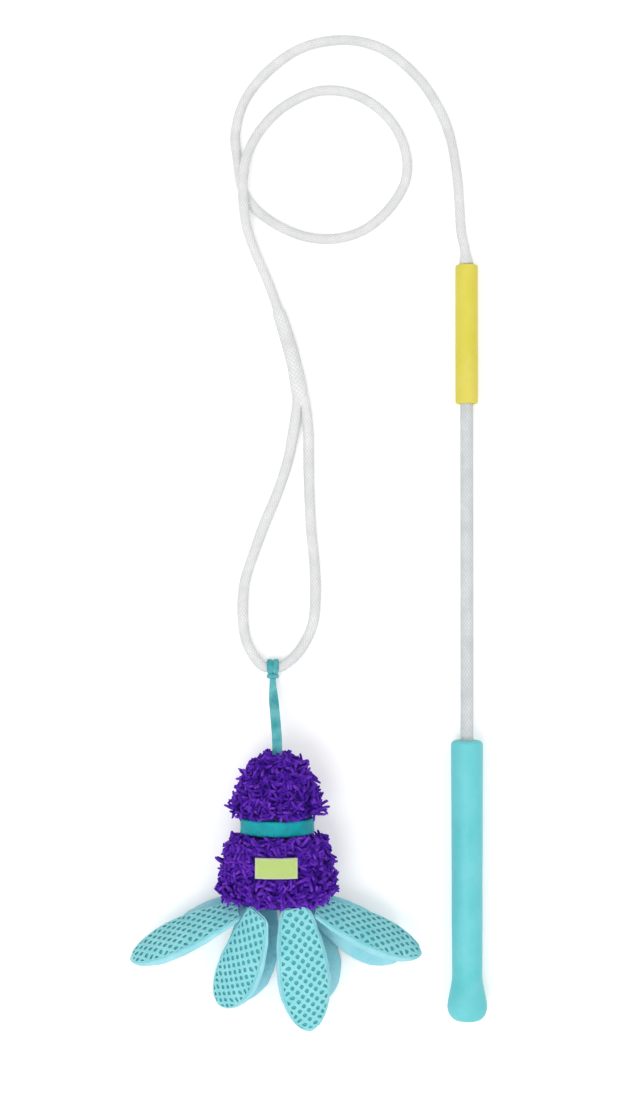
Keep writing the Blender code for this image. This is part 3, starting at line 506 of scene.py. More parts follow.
def plush_finish(name, shared, color, light, under):
    """Short plush round the edge, and painted shade on the lining where it shows through the net."""
    made, tree, shader = finish(name, 0.9, sheen=0.3, specular=0.2)
    nap = napped(tree, shared)
    net_shade = add(tree, "ShaderNodeAttribute", attribute_name="net_shade").outputs["Fac"]
    # Where the net covers the plush its colour turns to the darker one: painted shade under the net.
    toned = mixed(tree, net_shade, fibrous(tree, nap, color, light, 0.45), under)
    dressed(tree, shader, toned, (nap["Clumps"], 0.0004, 0.45), (nap["Nap"], 0.0002, 0.5))
    return made


def knit_finish(name, shared, color, light):
    """Knitted net: fine loops along both families of bars, their crests lighter: painted highlight."""
    made, tree, shader = finish(name, 0.7, sheen=0.3, specular=0.35)
    weave = woven(tree, shared, 0.00042, *uv_parts(tree))
    nap = napped(tree, shared)
    toned = mixed(tree, nap["Patches"], color, light)
    # Each loop's crest turns towards the lighter colour: painted highlight.
    thread = mixed(tree, spread(tree, weave["Height"], 0.1, 1.0, 0.0, 0.5), toned, light)
    dressed(tree, shader, thread, (weave["Height"], 0.00018, 0.6), (nap["Nap"], 0.00008, 0.4))
    return made


def satin_finish(name, shared, color, light, dark):
    """Woven satin ribbon: long floats across it, a soft gloss, painted light and shade along soft folds, and
    thread lines of painted shade.
    """
    made, tree, shader = finish(name, 0.5, specular=0.25)
    weave = woven(tree, shared, 0.0003, *uv_parts(tree))
    # The folds set roughness and bumps, and the colour too, lighter and darker along them: painted light and
    # shade.
    folds = spread(tree, grain_at(tree, object_place(tree), 130.0, 3.0), 0.35, 0.65)
    # Between the threads the colour turns to the darker one: painted shade.
    between = spread(tree, weave["Height"], 0.0, 0.6, 0.5, 0.0)
    toned = mixed(tree, between, mixed(tree, folds, color, light), dark)
    tree.links.new(spread(tree, folds, 0.0, 1.0, 0.42, 0.56), shader.inputs["Roughness"])
    dressed(tree, shader, toned, (folds, 0.0005, 0.25), (weave["Height"], 0.00006, 0.5))
    return made


def label_finish(name, shared, color, light, border):
    """A bare woven label: ribbed field with a painted highlight on its rib crests, and a paler woven edge all
    round.
    """
    made, tree, shader = finish(name, 0.65, sheen=0.2, specular=0.35)
    across, along = uv_parts(tree)
    weave = woven(tree, shared, 0.00034, across, along)
    edges = []
    for value, size in ((across, LABEL_WIDTH), (along, LABEL_HEIGHT)):
        off = sum_of(tree, "ABSOLUTE", sum_of(tree, "SUBTRACT", value, size / 2))
        edges.append(spread(tree, off, size / 2 - 0.0015, size / 2 - 0.0011))
    edge = sum_of(tree, "MAXIMUM", *edges)
    nap = napped(tree, shared)
    # The rib crests turn towards the lighter colour: painted highlight.
    field = mixed(tree, spread(tree, weave["Height"], 0.1, 1.0), color, light)
    field = mixed(tree, spread(tree, nap["Patches"], 0.0, 1.0, 0.0, 0.3), field, light)
    toned = mixed(tree, edge, field, border)
    dressed(tree, shader, toned, (weave["Height"], 0.0001, 0.6), (edge, 0.0003, 0.5))
    return made


def plain_finish(name, shared, color, light, roughness, metallic, scale):
    """Hidden hard pieces: drawn streaks, and a grain at its own scale."""
    made, tree, shader = finish(name, roughness, metallic)
    place = object_place(tree)
    stretched = {"Vector": place, "Scale": (1.0, 0.08, 1.0)}
    drawn = add(tree, "ShaderNodeMapping", stretched).outputs[0]
    streaks = spread(tree, grain_at(tree, drawn, scale, 4.0), 0.3, 0.7)
    rough = spread(tree, streaks, 0.0, 1.0, roughness - 0.08, roughness + 0.08)
    tree.links.new(rough, shader.inputs["Roughness"])
    mould = placed(tree, shared["mould"], {"Vector": place})
    toned = mixed(tree, streaks, color, light)
    dressed(tree, shader, toned, (streaks, 0.00006, 0.4), (mould["Grain"], 0.00003, 0.3))
    return made


def make_finishes():
    shared = {"braid": braid_group(), "pile": pile_group()}
    shared.update({"mould": mould_group(), "weave": weave_group()})
    looks = {}
    for key, make, name, colors, more in (
        # Each braid's second colour is painted shade for its grooves.
        ("rope", braid_finish, "rope_yarn",
         ((253, 253, 252), (213, 214, 216)), (ROPE_STRANDS, ROPE_LAY)),
        ("rod", braid_finish, "rod_cover_yarn",
         ((240, 243, 243), (192, 198, 200)), (ROD_STRANDS, ROD_LAY)),
        ("grip", rubber_finish, "turquoise_rubber", ((98, 206, 210), (118, 214, 221)), ()),
        ("sleeve", rubber_finish, "yellow_rubber", ((222, 210, 70), (230, 216, 92)), ()),
        ("noodle", noodle_finish, "purple_chenille",
         ((34, 2, 104), (70, 20, 166), (134, 66, 218)), ()),
        ("backing", cloth_finish, "purple_backing", ((32, 6, 92), (54, 16, 128)), (0.0,)),
        ("fleece", cloth_finish, "purple_fleece", ((46, 14, 116), (76, 32, 152)), (0.0,)),
        # The plush's third colour is painted shade under the net.
        ("plush", plush_finish, "petal_fleece",
         ((144, 218, 230), (174, 234, 244), (86, 186, 196)), ()),
        ("net", knit_finish, "petal_net", ((128, 226, 233), (162, 242, 247)), ()),
        ("seam", cloth_finish, "petal_seam", ((128, 214, 224), (156, 230, 238)), ()),
        # The satins' second colour is painted light on their folds, their third painted shade between threads.
        ("band", satin_finish, "band_satin", ((0, 154, 164), (0, 184, 190), (0, 116, 128)), ()),
        ("ribbon", satin_finish, "ribbon_satin",
         ((66, 170, 176), (120, 202, 208), (40, 130, 136)), ()),
        ("label", label_finish, "label_weave",
         ((184, 212, 110), (202, 226, 138), (222, 232, 190)), ()),
        ("thread", cloth_finish, "label_thread", ((206, 220, 168), (226, 234, 200)), ()),
        ("filling", cloth_finish, "fibre_fill", ((226, 226, 222), (242, 242, 240)), ()),
        ("fibre", plain_finish, "pultruded_fibre",
         ((206, 206, 196), (224, 224, 216)), (0.4, 0.0, 900.0)),
        ("plastic", plain_finish, "hard_plastic",
         ((196, 200, 200), (212, 215, 215)), (0.42, 0.0, 300.0)),
        ("metal", plain_finish, "pressed_metal",
         ((196, 198, 200), (216, 218, 220)), (0.32, 1.0, 700.0)),
        ("bulb", plain_finish, "blown_plastic",
         ((226, 226, 222), (240, 240, 236)), (0.36, 0.0, 200.0)),
    ):
        looks[key] = make(name, shared, *[tint(*c) for c in colors], *more)
    return looks


# Shapes


def piece(name, bm, material, body, stands_for=(), sharp=None, outwards=True):
    """Turns a bmesh into a smooth object that rides on a body and rests on the floor."""
    for vert in bm.verts:
        vert.co.z = max(vert.co.z, FLOOR_TOUCH)
    if outwards:
        bmesh.ops.recalc_face_normals(bm, faces=bm.faces)
    mesh = bpy.data.meshes.new(name)
    bm.to_mesh(mesh)
    bm.free()
    mesh.shade_smooth()
    if sharp is not None:
        mesh.set_sharp_from_angle(angle=math.radians(sharp))
    mesh.materials.append(material)
    made = bpy.data.objects.new(name, mesh)
    bpy.context.scene.collection.objects.link(made)
    if body is not None:
        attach(made, body)
    if stands_for:
        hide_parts(*stands_for)
    return made


def bent_grid(rows, columns, place, uv_place):
    """A grid bent into a closed skin by its two shares, 0 to 1; face corners keep their own UV."""
    bm = bmesh.new()
    bmesh.ops.create_grid(bm, x_segments=rows, y_segments=columns, size=0.5)
    uv = bm.loops.layers.uv.new("UVMap")
    for face in bm.faces:
        for loop in face.loops:
            loop[uv].uv = uv_place(loop.vert.co.x + 0.5, loop.vert.co.y + 0.5)
    for vert in bm.verts:
        vert.co = place(vert.co.x + 0.5, vert.co.y + 0.5)
    bmesh.ops.remove_doubles(bm, verts=bm.verts, dist=1e-6)
    bmesh.ops.holes_fill(bm, edges=bm.edges, sides=0)
    return bm


def turned(profile, sides, closed=False):
    """A profile of (along, radius) pairs, spun about the Y axis."""
    bm = bmesh.new()
    points = [bm.verts.new((radius, along, 0.0)) for along, radius in profile]
    edges = [bm.edges.new(pair) for pair in zip(points, points[1:])]
    if closed:
        edges.append(bm.edges.new((points[-1], points[0])))
    bmesh.ops.spin(
        bm, geom=points + edges, cent=(0, 0, 0), axis=(0, 1, 0), angle=math.tau, steps=sides,
        use_merge=True,
    )
    bmesh.ops.remove_doubles(bm, verts=bm.verts, dist=1e-6)
    return bm


def fillet(center, radius, first, last, steps):
    along, out = center
    turns = [math.radians(first + (last - first) * i / steps) for i in range(steps + 1)]
    return [(along + radius * math.cos(a), out + radius * math.sin(a)) for a in turns]


def strand_height(turn, along, strands, lay):
    """The braid's height at a place, 0 to 1, as in the crossed_strands group."""
    one = strands * turn + along / lay
    other = strands * turn - along / lay
    if (math.floor(one) + math.floor(other)) % 2:
        one, other = other, one
    x = one % 1.0 - 0.5
    y = other % 1.0 - 0.5
    return (1.0 - 4.0 * x * x) * math.cos(2.4 * y)


def braided(points, radius_at, strands, lay, oval_at=None):
    """A braided tube along equal steps; its strands stand out of it by the relief."""
    sides = strands * BRAID_STEPS
    rows = len(points) - 1
    step = (points[1] - points[0]).length
    side = (points[1] - points[0]).cross(Vector((0.0, 0.0, 1.0))).normalized()
    frames = []
    for i, here in enumerate(points):
        ahead = (points[min(i + 1, rows)] - points[max(i - 1, 0)]).normalized()
        side = (side - ahead * ahead.dot(side)).normalized()
        frames.append((here, side.copy(), ahead.cross(side)))

    def place(u, v):
        i = round(u * rows)
        along = i * step
        here, out, up = frames[i]
        wide, tall = oval_at(along) if oval_at else (1.0, 1.0)
        height = strand_height(v % 1.0, along, strands, lay)
        radius = radius_at(along) + BRAID_RELIEF * (height - 0.5)
        turn = math.tau * v
        return here + out * (radius * wide * math.cos(turn)) + up * (radius * tall * math.sin(turn))

    bm = bent_grid(rows, sides, place, lambda u, v: (u * rows * step, v))
    return bm


# Camera, light and floor


def make_camera():
    data = bpy.data.cameras.new("camera")
    data.sensor_width = SENSOR
    data.lens = SENSOR * CAMERA_PLACE[2] / SEEN_LENGTH
    data.clip_end = 20.0
    made = bpy.data.objects.new("camera", data)
    made.location = CAMERA_PLACE
    bpy.context.scene.collection.objects.link(made)
    bpy.context.scene.camera = made


def make_light():
    world = bpy.data.worlds.new("studio")
    world.use_nodes = True
    tree = world.node_tree
    back = tree.nodes["Background"]
    back.inputs["Color"].default_value = (1.0, 1.0, 1.0, 1.0)
    path = tree.nodes.new("ShaderNodeLightPath")
    rays = path.outputs["Is Camera Ray"], path.outputs["Is Transmission Ray"]
    strength = spread(tree, sum_of(tree, "MAXIMUM", *rays), 0.0, 1.0, AMBIENT, 1.0)
    tree.links.new(strength, back.inputs["Strength"])
    bpy.context.scene.world = world
    for name, power, angle, tilt in (
        ("key", 1.15, 40.0, (22.0, -20.0, 0.0)),
        ("fill", 0.45, 60.0, (-20.0, 34.0, 0.0)),
    ):
        data = bpy.data.lights.new(name, "SUN")
        data.energy = power
        data.angle = math.radians(angle)
        made = bpy.data.objects.new(name, data)
        made.rotation_euler = [math.radians(a) for a in tilt]
        bpy.context.scene.collection.objects.link(made)


def make_floor():
    bm = bmesh.new()
    bmesh.ops.create_grid(bm, x_segments=1, y_segments=1, size=4.0)
    mesh = bpy.data.meshes.new("floor")
    bm.to_mesh(mesh)
    bm.free()
    made = bpy.data.objects.new("floor", mesh)
    bpy.context.scene.collection.objects.link(made)
    material = bpy.data.materials.new("pale_floor")
    material.use_nodes = True
    tree = material.node_tree
    shader = tree.nodes["Principled BSDF"]
    shader.inputs["Base Color"].default_value = (0.9, 0.9, 0.9, 1.0)
    shader.inputs["Roughness"].default_value = 0.95
    shader.inputs["Specular IOR Level"].default_value = 0.0
    path = tree.nodes.new("ShaderNodeLightPath")
    rays = path.outputs["Is Camera Ray"], path.outputs["Is Glossy Ray"]
    glow = spread(tree, sum_of(tree, "MAXIMUM", *rays), 0.0, 1.0, 0.0, FLOOR_GLOW)
    shader.inputs["Emission Color"].default_value = (1.0, 1.0, 1.0, 1.0)
    tree.links.new(glow, shader.inputs["Emission Strength"])
    mesh.materials.append(material)


# Cords


def unevenness(along, seed):
    return 1.0 + ROPE_UNEVENNESS * noise.noise(Vector((along * 34.0, seed, 2.0)))


def make_cord(name, points, nodes, radius_at, oval_at, looks):
    """A braided cord on the floor, through points at equal steps."""
    bm = braided(points, radius_at, ROPE_STRANDS, ROPE_LAY, oval_at)
    made = piece(name, bm, looks["rope"], "pole", nodes)


def make_rope(looks):
    route = Route(ROPE_ROUTE + (CROTCH,))
    points = route.spread(round(route.length * BRAID_STEPS / ROPE_LAY))
    splice = route.length - SPLICE_LENGTH - CROTCH_REACH

    def radius_at(along):
        flare = (NECK_RADIUS - ROPE_RADIUS) * (1.0 - smoothstep(0.0, NECK_LENGTH, along))
        swell = 0.75 * smoothstep(0.0, 1.0, (along - splice) / SPLICE_SHOULDER)
        late = 0.25 * smoothstep(0.0, 1.0, (along - splice) / SPLICE_LENGTH)
        left = min(1.0, max(0.0, route.length - along) / TAIL_TAPER)
        end = 0.28 + 0.72 * math.sqrt(left * (2.0 - left))
        radius = ROPE_RADIUS + flare + (SPLICE_RADIUS - ROPE_RADIUS) * (swell + late)
        return radius * end * unevenness(along, 0.0)

    def oval_at(along):
        opened = smoothstep(route.length - 0.032, route.length - 0.01, along)
        return 1.0 + 0.14 * opened, 1.0 - 0.22 * opened

    make_cord(
        "rope_braid", points,
        ("rope_neck", "rope", "rope_splice"), radius_at, oval_at, looks,
    )


def make_eye(looks):
    route = Route(EYE_ROUTE)
    points = route.spread(round(route.length * BRAID_STEPS / ROPE_LAY))

    def radius_at(along):
        inwards = min(along, route.length - along)
        tapered = 0.84 + 0.16 * smoothstep(0.0, LEG_TAPER, inwards)
        return EYE_RADIUS * tapered * unevenness(along, 5.0)

    make_cord(
        "eye_braid", points,
        ("rope_eye",), radius_at, None, looks,
    )


# Pole


def pole_frame():
    """Carries a piece drawn along +Y from the butt to its place, which the mount gives."""
    mount = frame["record"]["mounts"][0]
    along = -Vector(mount["axis"]).normalized()
    across = Vector((1.0, 0.0, 0.0))
    turn = Matrix((across, along, across.cross(along))).transposed().to_4x4()
    return Matrix.Translation(mount["pos_m"]) @ turn


def on_pole(name, bm, look, node, at, sharp=None):
    bmesh.ops.transform(bm, matrix=at, verts=bm.verts)
    piece(name, bm, look, "pole", (node,), sharp)


def swollen(bm, least, swell_at):
    """Moves what lies beyond a radius from the axis in or out by what swell_at gives there."""
    for vert in bm.verts:
        out = math.hypot(vert.co.x, vert.co.z)
        if out > least:
            scale = 1.0 + swell_at(vert.co) / out
            vert.co.x *= scale
            vert.co.z *= scale


def make_grip(looks, at):
    widest = BUTT_WIDEST_FROM_END
    profile = [(0.0, 0.0), (0.0, BUTT_FLAT_RADIUS * 0.94)]
    for i in range(15):
        a = math.radians(90 * i / 14)
        out = BUTT_FLAT_RADIUS + (BUTT_RADIUS - BUTT_FLAT_RADIUS) * math.sin(a)
        profile.append((0.00012 + (widest - 0.00012) * (1.0 - math.cos(a)), out))
    for i in range(1, 21):
        share = i / 20
        along = widest + (GRIP_WAIST_FROM_BUTT - widest) * share
        drop = smoothstep(0.0, 1.0, share**0.85)
        profile.append((along, BUTT_RADIUS + (GRIP_WAIST_RADIUS - BUTT_RADIUS) * drop))
    for i in range(1, 60):
        share = i / 60
        along = GRIP_WAIST_FROM_BUTT + (GRIP_LENGTH - GRIP_LIP - GRIP_WAIST_FROM_BUTT) * share
        profile.append((along, GRIP_WAIST_RADIUS + (GRIP_MOUTH_RADIUS - GRIP_WAIST_RADIUS) * share))
    corner = (GRIP_LENGTH - GRIP_LIP, GRIP_MOUTH_RADIUS - GRIP_LIP)
    profile += fillet(corner, GRIP_LIP, 90, 4, 10)
    bore, room, room_start, room_end = 0.00465, 0.0071, 0.0137, GRIP_LENGTH - 0.005
    profile += [(GRIP_LENGTH, 0.0062), (GRIP_LENGTH - 0.0003, 0.0051)]
    profile += [(GRIP_LENGTH - 0.001, BORE_RADIUS), (room_end, bore)]
    profile += [(room_end, room), (room_start, room), (room_start, 0.0)]
    bm = turned(profile, TURNED_SIDES)

    def swell_at(co):
        wave = noise.noise(Vector((co.x * 30, co.y * 22, co.z * 30)))
        return 0.00022 * wave + math.exp(-((co.z / 0.0005) ** 2)) * 0.00012

    swollen(bm, 0.008, swell_at)
    on_pole("grip_rubber", bm, looks["grip"], "grip", at, 50)


def make_sleeve(looks, at):
    start, end = POLE_LENGTH - SLEEVE_LENGTH, POLE_LENGTH
    round_ = 0.0016
    low = (start + round_, SLEEVE_RADIUS - round_)
    high = (end - round_, SLEEVE_RADIUS - round_)
    outside = fillet(low, round_, 180, 90, 8)
    outside += [(start + (end - start) * i / 40, SLEEVE_RADIUS) for i in range(2, 39)]
    outside += fillet(high, round_, 90, 0, 8)
    room_end, room_start = end - 0.012, end - 0.0284
    inside = [(end, 0.0052), (end - 0.0005, BORE_RADIUS), (room_end, BORE_RADIUS)]
    inside += [(room_end, CRIMP_ROOM_RADIUS), (room_start, CRIMP_ROOM_RADIUS)]
    inside += [(room_start, BORE_RADIUS), (start + 0.0005, BORE_RADIUS), (start, 0.0052)]
    bm = turned(outside + inside, TURNED_SIDES, closed=True)

    def swell_at(co):
        return 0.00012 * noise.noise(Vector((co.x * 40, co.y * 30, co.z * 40)))

    swollen(bm, 0.0066, swell_at)
    on_pole("sleeve_rubber", bm, looks["sleeve"], "tip_sleeve", at, 50)


def make_rod_braid(looks, at):
    start, end = ROD_BRAID_START, POLE_LENGTH - 0.001
    rows = round((end - start) * BRAID_STEPS / ROD_LAY)
    points = [Vector((0.0, start + (end - start) * i / rows, 0.0)) for i in range(rows + 1)]
    bm = braided(points, lambda along: ROD_BRAID_RADIUS - 0.0001, ROD_STRANDS, ROD_LAY)
    on_pole("rod_cover", bm, looks["rod"], "rod_braid", at)


# Strap


def make_hitch(looks):
    """Two turns of folded ribbon round the eye, drawn together by the turn that crosses them."""
    bore, crest = 0.0039, 0.0053
    half = 0.0041

    def wrap(u, v):
        """u runs round the rope, v round the ribbon's section over both turns."""
        turn = math.tau * u
        section = v * 4.0
        if section <= 3.0:
            x = -half + 2.0 * half * section / 3.0
            dip = math.exp(-((x / 0.0007) ** 2)) * 0.0008
            edge = math.sqrt(smoothstep(half, half - 0.0009, abs(x)))
            out = bore + (crest - bore) * edge - dip
            fold = noise.noise(Vector((x * 900, math.cos(turn) * 2.2, math.sin(turn) * 2.2)))
            out += 0.00018 * fold * edge
        else:
            x = half - 2.0 * half * (section - 3.0)
            out = bore
        pinch = 1.0 - 0.1 * smoothstep(0.2, 1.0, math.cos(turn - math.pi))
        return Vector((x * pinch, out * math.cos(turn), out * math.sin(turn))) + HITCH

    bm = bent_grid(64, 48, wrap, lambda u, v: (u * 0.033, v * 0.016))
    bmesh.ops.remove_doubles(bm, verts=bm.verts, dist=1e-5)
    piece("hitch_turns", bm, looks["ribbon"], "strap", ("strap_hitch",))

    def bar(u, v):
        """The turn across: a soft rolled ribbon below both turns, its ends tucked under them."""
        x = (u - 0.5) * 2.0
        turn = math.tau * v
        ends = math.sqrt(max(0.02, 1.0 - abs(x) ** 3.2))
        radius = 0.00215 * ends
        crease = 1.0 + 0.1 * math.cos(3 * turn + 2.0 * x)
        arc = -0.0062 - 0.0002 * x * x
        y = arc + radius * math.cos(turn) * 0.85 * crease
        z = 0.0009 + radius * math.sin(turn) * 1.1 * crease
        return Vector((x * half * 1.02, y, z)) + HITCH

    bm = bent_grid(28, 28, bar, lambda u, v: (u * 0.009, v * 0.014))
    piece("hitch_bar", bm, looks["ribbon"], "strap")


def ribbon_line(share):
    low = Vector((0.0, -0.0072, 0.0009))
    high = Vector((STRAP_DRIFT, -STRAP_REACH - 0.0019, TOY_HEIGHT - HITCH.z))
    climb = smoothstep(0.05, 0.9, share)
    point = low.lerp(high, climb)
    point.y = low.y + (high.y - low.y) * share
    return point


def ribbon_layer(name, lift, lean, width, stands_for, looks):
    """One layer of the ribbon, lifted off its line, a little twisted, cupped and creased."""

    def place(u, v):
        here = ribbon_line(u)
        ahead = (ribbon_line(min(1.0, u + 0.01)) - ribbon_line(max(0.0, u - 0.01))).normalized()
        x, side = -math.cos(math.tau * v), math.sin(math.tau * v)
        narrow = 0.62 + 0.38 * smoothstep(0.0, 0.35, u)
        cup = 0.0018 * (1.0 - narrow) + 0.00016 * math.sin(9.0 * u + lean * 4)
        across = Vector((1.0, 0.0, 0.0))
        up = across.cross(ahead).normalized()
        twist = Matrix.Rotation(lean * 0.3 * math.sin(math.pi * u), 3, ahead)
        across, up = twist @ across, twist @ up
        thick = RIBBON_HALF_THICKNESS * math.copysign(abs(side) ** 0.4, side)
        depth = lift + cup * x * x * (1.0 if lift > 0 else -0.6) + thick
        wave = 0.00012 * noise.noise(Vector((x * 1.5, u * 9.0, lean * 10)))
        return here + across * (x * width / 2 * narrow) + up * (depth + wave) + HITCH

    bm = bent_grid(90, 24, place, lambda u, v: (v * 2 * width, u * 0.055))
    made = piece(name, bm, looks["ribbon"], None, stands_for)
    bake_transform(made)


def make_ribbon(looks):
    ribbon_layer("ribbon_upper", 0.00062, 0.35, 0.0064, ("strap_ribbon",), looks)
    ribbon_layer("ribbon_lower", -0.00055, -0.25, 0.0066, (), looks)


# Toy


def flatness(along):
    share = smoothstep(HEAD_LENGTH * 0.7, BODY_START + BODY_LENGTH * 0.35, along)
    return HEAD_FLATNESS + (BODY_FLATNESS - HEAD_FLATNESS) * share


def outline_at(outline, share):
    for (a, r), (b, s) in zip(outline, outline[1:]):
        if share <= b:
            return r + (s - r) * (share - a) / (b - a)
    return outline[-1][1]


def head_radius(along):
    return HEAD_RADIUS * outline_at(HEAD_OUTLINE, along / HEAD_LENGTH)


def body_radius(along):
    return BODY_RADIUS * outline_at(BODY_OUTLINE, (along - BODY_START) / BODY_LENGTH)


def toy_point(along, turn, radius):
    """A place on the toy; turn 0 is its front, which faces up, and a quarter is to its right."""
    z = radius * math.cos(turn) * flatness(along)
    return Vector((TOY_X + radius * math.sin(turn), TOY_TOP_Y - along, TOY_HEIGHT + z))


def noodle(length, radius, bend):
    """One chenille noodle along +Z, bent towards +X, with a blunt round end."""
    bm = bmesh.new()
    reach = bm.verts.layers.float.new("reach")
    bm.verts.layers.float.new("tone")
    before = None
    for share, size in NOODLE_RINGS:
        lean = bend * share
        spot = Vector((math.sin(lean / 2), 0.0, math.cos(lean / 2))) * (length * share)
        matrix = Matrix.Translation(spot) @ Matrix.Rotation(lean, 4, "Y")
        matrix = matrix @ Matrix.Scale(radius * size, 4)
        made = bmesh.ops.create_circle(
            bm, cap_ends=share == 1.0, segments=6, radius=1.0, matrix=matrix
        )
        for vert in made["verts"]:
            vert[reach] = share
        edges = list({e for v in made["verts"] for e in v.link_edges})
        if before:
            bmesh.ops.bridge_loops(bm, edges=before + edges)
        before = edges
    return bm


def spiral(radius_at, start, end, count, rng):
    """Evenly spread places on the toy: each with its ways down, round and out."""
    steps = 200
    areas = [0.0]
    for i in range(steps):
        a = start + (end - start) * i / steps
        b = start + (end - start) * (i + 1) / steps
        slope = math.hypot(b - a, radius_at(b) - radius_at(a))
        areas.append(areas[-1] + slope * (radius_at(a) + radius_at(b)) / 2)
    index = 0
    for k in range(count):
        wanted = areas[-1] * (k + 0.5) / count
        while areas[index + 1] < wanted:
            index += 1
        part = index + (wanted - areas[index]) / (areas[index + 1] - areas[index])
        along = start + (end - start) * part / steps + rng.uniform(-0.0006, 0.0006)
        along = min(end, max(start, along))
        turn = k * GOLDEN_ANGLE + rng.uniform(-0.03, 0.03)
        radius = radius_at(along)
        spot = toy_point(along, turn, radius)
        down = toy_point(along + 0.0004, turn, radius_at(min(end, along + 0.0004))) - spot
        round_ = toy_point(along, turn + 0.02, radius) - spot
        normal = down.cross(round_).normalized()
        if normal.dot(spot - Vector((TOY_X, spot.y, TOY_HEIGHT))) < 0:
            normal = -normal
        yield spot, down.normalized(), round_.normalized(), normal


def lean_over(spot, down, round_, normal, rng):
    """Lays a noodle down at a place, in any direction; a few stray ones stand up more."""
    stray = rng.random() < STRAY_SHARE
    tilt = math.radians(rng.uniform(*(STRAY_TILTS if stray else NOODLE_TILTS)))
    bearing = rng.uniform(0.0, math.tau)
    flat = (down * math.cos(bearing) + round_ * math.sin(bearing)).normalized()
    direction = normal * math.cos(tilt) + flat * math.sin(tilt)
    if spot.z < 0.012 and direction.z < 0.0:
        direction.z *= 0.25
        direction.normalize()
    lean = rng.uniform(-0.35, 0.6)
    curl = normal.cross(direction).normalized() * rng.choice((-1.0, 1.0))
    curl = curl * math.cos(lean) - normal * math.sin(lean)
    curl = (curl - direction * curl.dot(direction)).normalized()
    turn = Matrix((curl, direction.cross(curl), direction)).transposed().to_4x4()
    size = Matrix.Scale(rng.uniform(0.88, 1.12), 4)
    return Matrix.Translation(spot - normal * NOODLE_DEPTH) @ turn @ size


def tufted(name, radius_at, start, end, count, crosses, looks, seed):
    """Noodles all over a stretch of the toy.

    None is left whose middle or tip crosses into a place that is kept bare.
    """
    rng = random.Random(seed)
    templates = []
    for i in range(9):
        length, bend = rng.uniform(*NOODLE_LENGTHS), rng.uniform(*NOODLE_BENDS)
        bm = noodle(length, rng.uniform(*NOODLE_RADII), bend)
        mesh = bpy.data.meshes.new("noodle_%d" % i)
        bm.to_mesh(mesh)
        bm.free()
        places = [
            Vector((math.sin(bend * share / 2), 0.0, math.cos(bend * share / 2))) * (length * share)
            for share in (0.6, 1.0)
        ]
        templates.append((mesh, places))
    bm = bmesh.new()
    bm.verts.layers.float.new("reach")
    tone = bm.verts.layers.float.new("tone")
    for spot, down, round_, normal in spiral(radius_at, start, end, count, rng):
        for attempt in range(10):
            matrix = lean_over(spot, down, round_, normal, rng)
            mesh, places = templates[rng.randrange(len(templates))]
            if not any(crosses(matrix @ p) for p in places):
                break
        else:
            continue
        old = len(bm.verts)
        bm.from_mesh(mesh)
        bm.verts.ensure_lookup_table()
        fresh = bm.verts[old:]
        bmesh.ops.transform(bm, matrix=matrix, verts=fresh)
        own = min(1.0, max(0.0, rng.gauss(0.38, 0.28)))
        for vert in fresh:
            vert[tone] = own
            if vert.co.z < FLOOR_CLEARANCE:
                vert.co.z = FLOOR_CLEARANCE * (1.0 + 0.1 * rng.random())
    for mesh, places in templates:
        bpy.data.meshes.remove(mesh)
    piece(name, bm, looks["noodle"], "toy", outwards=False)


def make_backing(name, radius_at, start, end, rows, sides, node, looks):
    """The cloth under the pile: a closed skin some depth inside it, with soft lumps."""

    def place(u, v):
        along = start + (end - start) * u
        turn = math.tau * v
        lump = noise.noise(Vector((math.sin(turn) * 2, math.cos(turn) * 2, along * 60)))
        radius = max(0.0005, radius_at(along) - BACKING_DEPTH + 0.00022 * lump)
        return toy_point(along, turn, radius)

    bm = bent_grid(rows, sides, place, lambda u, v: (v * 0.2, u * (end - start)))
    made = piece(name, bm, looks["backing"], "toy", (node,))


def make_head(looks):
    make_backing(
        "head_backing", head_radius, 0.0005, HEAD_LENGTH, 40, 96, "head_cover", looks
    )

    def crosses(tip):
        """The ribbon at the crown and the neck band stay bare."""
        at_ribbon = abs(tip.x - TOY_X) < 0.0035 and abs(tip.z - TOY_HEIGHT) < 0.0035
        return at_ribbon or TOY_TOP_Y - tip.y > HEAD_LENGTH + 0.0015

    tufted("head_noodles", head_radius, 0.0004, HEAD_LENGTH, HEAD_NOODLES, crosses, looks, 11)


def make_body(looks):
    make_backing(
        "body_backing", body_radius, BODY_START, BASE - 0.0003, 44, 112, "body_cover", looks
    )

    def crosses(tip):
        """The neck band, the label and what lies below the base stay bare."""
        along = TOY_TOP_Y - tip.y
        at_label = (
            tip.z > TOY_HEIGHT
            and abs(tip.x - TOY_X) < LABEL_WIDTH / 2 + LABEL_MARGIN
            and abs(along - LABEL_FROM_TOP) < LABEL_HEIGHT / 2 + LABEL_MARGIN
        )
        below = along > BASE + (0.003 if tip.z > TOY_HEIGHT else 0.001)
        return at_label or along < BODY_START - 0.0022 or below

    tufted("body_noodles", body_radius, BODY_START, BASE, BODY_NOODLES, crosses, looks, 23)


